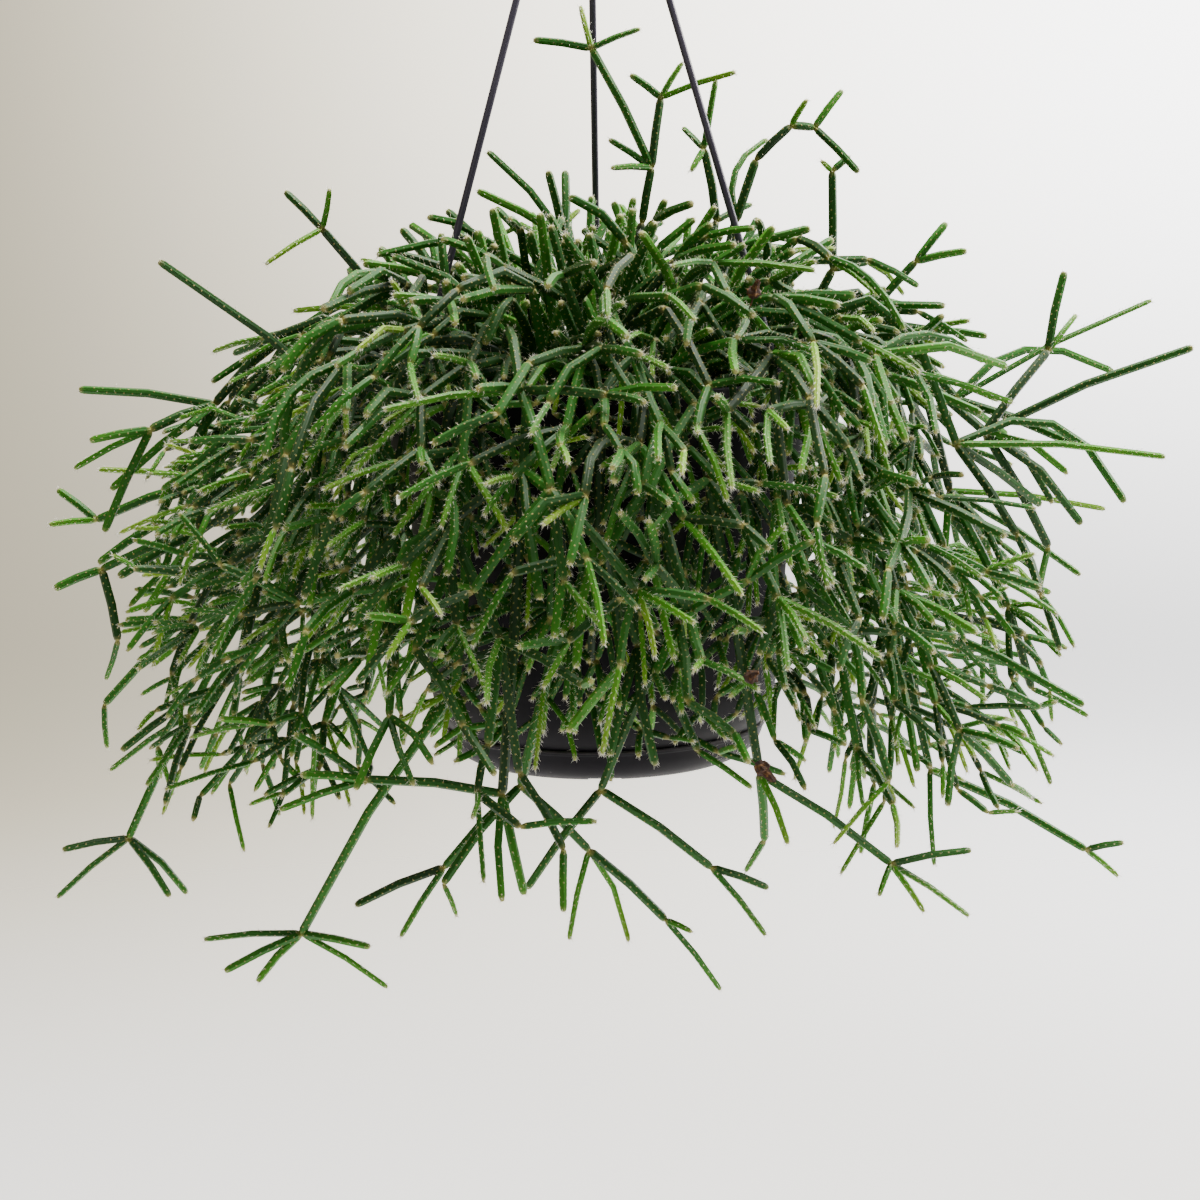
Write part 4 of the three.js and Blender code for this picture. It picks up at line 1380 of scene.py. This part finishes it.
# %% Hanger strands
strand_radius = 1.8
collar_top = 3
foot_boxes = ((2.2, 5, 7.5, 0.25), (3.4, 7.6, 2.7, 1.65), (2.2, 7.6, 3, -4.0))


def build_strand(number, angle):
    """A rod from the rim to the hub, with a flat foot, its collar and its barb."""
    foot = on_circle(foot_circle, angle, collar_top - 0.5)
    top = on_circle(strand_circle, angle, hub_height)
    long = math.sqrt((top - foot) @ (top - foot))
    deselect_all()
    bpy.ops.mesh.primitive_cylinder_add(vertices=20, radius=strand_radius * MM, depth=long * MM)
    rod = bpy.context.object
    apply_bevel(rod, 0.4)
    rod.matrix_world = Matrix.Translation(Vector(to_frame((foot + top) / 2))) \
        @ Vector(top - foot).to_track_quat("Z", "X").to_matrix().to_4x4()
    bpy.ops.object.transform_apply(location=True, rotation=True)
    boxes = [add_box(width, depth, height, (foot_circle, 0, z), angle)
             for width, depth, height, z in foot_boxes]
    for box in boxes:
        apply_bevel(box, 0.4)
    join(rod, *boxes)
    rod.name = f"strand_{number}"
    smooth(rod)
    return rod


# %% Hub and hook
hook_inner = 11
hook_thickness = 5
hook_bend = 295


def build_hook():
    """Hub, neck and open hook."""
    hook_radius = hook_inner + hook_thickness / 2
    middle = rim_below_hook - hook_inner
    hub = raise_rings("hanger_top", [
        (11, 290), (12.5, 291), (12.3, 293), (11.6, 294), (11.2, 296), (10.2, 300), (9.9, 301.5),
        (9.0, 302.2), (7.6, 309), (6.4, 313), (4.2, 315), (3.5, 318), (3.1, 330),
        (2.9, middle - hook_radius),
    ], 48)
    deselect_all()
    bpy.ops.mesh.primitive_circle_add(
        vertices=20, radius=hook_thickness / 2 * MM,
        location=(0, 0, (middle - hook_radius) * MM - hanger_drop), rotation=(0, math.pi / 2, 0))
    hook = bpy.context.object
    bpy.ops.object.transform_apply(location=True, rotation=True)
    edit(hook)
    bpy.ops.mesh.select_all(action="SELECT")
    bpy.ops.mesh.spin(steps=44, angle=math.radians(hook_bend), axis=(0, -1, 0),
                      center=(0, 0, middle * MM - hanger_drop))
    leave_edit()
    end = math.radians(hook_bend - 90)
    bpy.ops.mesh.primitive_uv_sphere_add(
        segments=20, ring_count=12, radius=(hook_thickness / 2 + 0.15) * MM,
        location=(hook_radius * math.cos(end) * MM, 0,
                  (middle + hook_radius * math.sin(end)) * MM - hanger_drop))
    join(hub, hook, bpy.context.object)
    turn_outwards(hub)
    smooth(hub)
    return hub


strands = [build_strand(i + 1, angle) for i, angle in enumerate(strand_angles)]
hanger_top = build_hook()
print("hanger top", len(hanger_top.data.polygons), "faces")

# %% [markdown]
# Moulded plastic of this kind is not quite even: it is charcoal with a breath of violet, a fine
# grain makes it satin rather than glossy, and water leaves dull marks and a little pale dust
# low on the wall. All of that follows the object's own coordinates, so it is fixed to the pot.

# %% Plastic
def moulded_plastic(name, dark, pale, dust_and_highlight, roughness, gloss, painted_highlight_height=None):
    """Dark plastic with clouds, streaks and dusty dots, and at most one painted highlight band."""
    material, shader, tree = new_material(name, {"Specular IOR Level": gloss})
    place = object_place(tree)
    cloud, grain = place.noise(14, 5), place.noise(1800, 2)
    streak = tree.add("Mapping", None, {"Vector": place, "Scale": (60, 60, 3)}).noise(1, 3)
    specks = tree.add("TexVoronoi", None, {"Vector": place, "Scale": 170.0}, out=0)
    body = cloud.smooth(0.35, 0.7).blend(dark, pale)
    marks = streak.smooth(0.56, 0.74) * cloud.smooth(0.4, 0.62) * 0.35
    dots = specks.smooth(0.14, 0.05) * cloud.smooth(0.5, 0.62) * 0.5
    color = marks.math("MAXIMUM", dots).blend(body, dust_and_highlight)
    # Painted highlight: above the given height, on the top of the saucer's lip, the colour is
    # blended towards the pale colour.
    if painted_highlight_height is not None:
        edge = place.split()[2] * 1000 + (rim_below_hook - painted_highlight_height)
        color = (edge.smooth(-1.6, -0.2) * (grain * 0.3 + 0.5)).blend(color, dust_and_highlight)
    rough = cloud * 0.16 + marks * 0.3 + (roughness - 0.08)
    finish_material(tree, shader, color, rough, grain * 0.4 + streak * 0.3, 0.00012)
    return material


# %% Peat
def peat():
    """Nearly black, with paler fibres, and rough all over."""
    material, shader, tree = new_material("peat", {"Specular IOR Level": 0.2})
    place = object_place(tree)
    mix = place.noise(160, 6) * 0.7 + place.noise(900, 4) * 0.4
    color = mix.ramp(
        (0.3, (0.006, 0.004, 0.003)), (0.55, (0.026, 0.016, 0.010)), (0.85, (0.09, 0.06, 0.04)))
    finish_material(tree, shader, color, 0.95, mix, 0.0012)
    return material


# %% Finishes on the pieces
pot_plastic = moulded_plastic(
    "pot_plastic", (0.004, 0.0036, 0.0055, 1), (0.008, 0.007, 0.011, 1), (0.06, 0.055, 0.05, 1),
    0.52, 0.12)
strand_plastic = moulded_plastic(
    "strand_plastic", (0.030, 0.026, 0.042, 1), (0.050, 0.044, 0.066, 1), (0.14, 0.13, 0.15, 1),
    0.34, 0.3)
saucer_plastic = moulded_plastic(
    "saucer_plastic", (0.005, 0.0045, 0.0065, 1), (0.010, 0.009, 0.013, 1), (0.11, 0.10, 0.11, 1),
    0.52, 0.08, painted_highlight_height=saucer_lip)
soil_finish = peat()
hand_over(pot, pot_plastic, "pot_plastic", "pot")
hand_over(saucer, saucer_plastic, "pot_plastic", "saucer")
hand_over(soil, soil_finish, "soil", "soil")
hand_over(hanger_top, strand_plastic, "strand_plastic", "hanger_hook")
for i, strand in enumerate(strands):
    hand_over(strand, strand_plastic, "strand_plastic", f"hanger_strand_{i + 1}")


# %% [markdown]
# Three spent flowers still hang on the front stems. A spent flower is a shrivelled brown ball
# with a ragged tuft of dried petals and a thin, wiry stalk. One is modelled from a sphere whose
# every second meridian is folded in, and the others are copies, each with its own size. The
# stalk is a small circle extruded from the stem to the ball.

# %% Where the spent flowers hang
spent_flowers = (
    ((58, -215, -142), (67, -218, -151), 1.3),
    ((60, -234, -109), (61, -239, -107), 1.1),
    ((65, -157, 40), (68, -163, 48), 1.15),
)
stalk_radius = 0.38
print("spent flowers", len(spent_flowers))

# %% One spent flower
def model_flower():
    """A folded, drawn-out ball of about 3 mm, with its tuft along +Z."""
    deselect_all()
    bpy.ops.mesh.primitive_uv_sphere_add(segments=14, ring_count=9, radius=2.9)
    flower = bpy.context.object
    edit(flower)
    pick(flower, lambda co: round(math.atan2(co.y, co.x) * 7 / math.pi) % 2 == 1)
    bpy.ops.transform.resize(value=(0.8, 0.8, 1))
    pick(flower, lambda co: co.z > 1.2)
    bpy.ops.transform.resize(value=(0.62, 0.62, 1))
    pick(flower, lambda co: co.z > 2.2)
    bpy.ops.transform.translate(value=(0, 0, 2.6))
    bpy.ops.transform.resize(value=(1.3, 0.7, 1))
    bpy.ops.mesh.select_all(action="SELECT")
    roughen(0.45, 11)
    return flower


# %% Stalks
def nearest_stem_point(place):
    """The point of a stem's line that lies nearest to a place."""
    lines = np.concatenate([stem.along(np.arange(9) / 8) for stem in grown.stems])
    apart = lines - place
    return lines[(apart * apart).sum(1).argmin()]


def extrude_stalk(start, end, thickness):
    """A wiry stalk from the stem to the flower, with a little sag."""
    spots = [start + (end - start) * t - [0, 0, 5 * t * (1 - t)] for t in np.linspace(0, 1, 6)]
    deselect_all()
    bpy.ops.mesh.primitive_circle_add(vertices=7, radius=thickness * MM, fill_type="NGON",
                                      location=to_frame(spots[0]))
    stalk = bpy.context.object
    bpy.ops.object.transform_apply(location=True)
    edit(stalk)
    bpy.ops.mesh.select_all(action="SELECT")
    for spot, following in zip(spots[:-1], spots[1:]):
        step = to_frame(following) - to_frame(spot)
        bpy.ops.mesh.extrude_region_move(TRANSFORM_OT_translate={"value": step})
    leave_edit()
    turn_outwards(stalk)
    return stalk


# %% The three flowers
def build_flowers():
    """All three flowers and their stalks, as one piece."""
    model = model_flower()
    pieces = []
    for sits_at, middle, size in spent_flowers:
        middle = np.array(middle, float)
        foot = nearest_stem_point(np.array(sits_at, float))
        way = Vector(middle - foot)
        flower = bpy.data.objects.new("spent_flower", model.data.copy())
        bpy.context.scene.collection.objects.link(flower)
        flower.matrix_world = Matrix.Translation(Vector(to_frame(middle))) \
            @ way.to_track_quat("Z", "X").to_matrix().to_4x4() @ Matrix.Scale(size * MM, 4)
        pieces += [flower, extrude_stalk(foot, middle, stalk_radius)]
    bpy.data.objects.remove(model)
    choose(*pieces)
    bpy.ops.object.transform_apply(location=True, rotation=True, scale=True)
    flowers = join(*pieces)
    flowers.name = "spent_flowers"
    smooth(flowers, 50)
    return flowers


# %% Dried petals
def dried_petals():
    """Shrivelled brown with paler, creased blotches."""
    material, shader, tree = new_material("dried_petals", {"Specular IOR Level": 0.25})
    place = object_place(tree)
    crease = place.noise(1500, 3)
    color = place.noise(420, 4).ramp(
        (0.3, (0.012, 0.005, 0.004)), (0.55, (0.05, 0.019, 0.008)), (0.78, (0.30, 0.14, 0.035)))
    finish_material(tree, shader, color, crease * 0.3 + 0.55, crease, 0.0008)
    return material


# %% Spent flowers
flowers = build_flowers()
hand_over(flowers, dried_petals(), "stem")
print("spent flowers", len(flowers.data.polygons), "faces")

# %% [markdown]
# The studio is plain: a pale floor well below the pot, whose edge fades out so that no horizon
# cuts the picture, a pale world that is warmer and darker on the left as the photograph's wall
# is, and three soft lights. The strongest comes from the right and a little behind.

# %% Floor
floor_height = -1.25
floor_radius = 3.2


def add_floor():
    """A pale disk that fades out towards its edge."""
    bpy.ops.mesh.primitive_circle_add(
        vertices=96, radius=floor_radius, fill_type="NGON", location=(0, 0, floor_height))
    floor = bpy.context.object
    floor.name = "floor"
    material, shader, tree = new_material("pale_floor", {"Roughness": 0.9,
                                                         "Specular IOR Level": 0.1})
    shader.inputs["Base Color"].default_value = (0.95, 0.94, 0.95, 1)
    away = tree.add("VectorMath", {"operation": "LENGTH"}, {0: object_place(tree)}, out=1)
    shown = away.smooth(floor_radius * 0.95, floor_radius * 0.3)
    tree.tree.links.new(shown.socket, shader.inputs["Alpha"])
    floor.data.materials.append(material)
    return floor


floor = add_floor()

# %% World and lights
def add_world():
    """A pale room, brightest at the right and behind, which reads the way that a ray looks."""
    world = bpy.data.worlds.new("soft_room")
    bpy.context.scene.world = world
    world.use_nodes = True
    tree = Wire(world.node_tree)
    background = world.node_tree.nodes["Background"]
    x, y, z = tree.add("TexCoord").split()
    side = x.smooth(-0.30, 0.30)
    behind = y.smooth(0.1, 0.9)
    bright = z.smooth(-0.22, 0.10) * 5.0 + 1.3
    low = z.smooth(-0.16, -0.38) * (side * 3.4 + 1.1)
    glow = side * behind * bright + behind * low + y.smooth(-0.3, 0.5) * 0.36 + 0.35
    wall = side.blend((1.0, 0.90, 0.66, 1), (0.99, 0.99, 1.0, 1))
    lit = wall.add("VectorMath", {"operation": "SCALE"}, {0: wall, "Scale": glow})
    world.node_tree.links.new(lit.socket, background.inputs["Color"])
    background.inputs["Strength"].default_value = 1.0


def add_light(name, place, aim, size, power, color):
    """A soft round light that looks at a place."""
    bpy.ops.object.light_add(type="AREA", location=place)
    light = bpy.context.object
    light.name = name
    light.data.shape = "DISK"
    light.data.size = size
    light.data.energy = power
    light.data.color = color
    way = Vector(aim) - Vector(place)
    light.rotation_euler = way.to_track_quat("-Z", "Y").to_euler()
    return light


add_world()
plant_middle = (0, 0, -0.45)
add_light("window", (1.5, 0.3, 0.45), plant_middle, 0.8, 66, (1.0, 0.97, 0.90))
add_light("ceiling", (0.2, 0.1, 1.3), plant_middle, 0.9, 78, (1.0, 0.99, 0.93))
add_light("fill", (-0.6, -1.8, 0.2), plant_middle, 1.4, 5, (0.97, 0.98, 1.0))
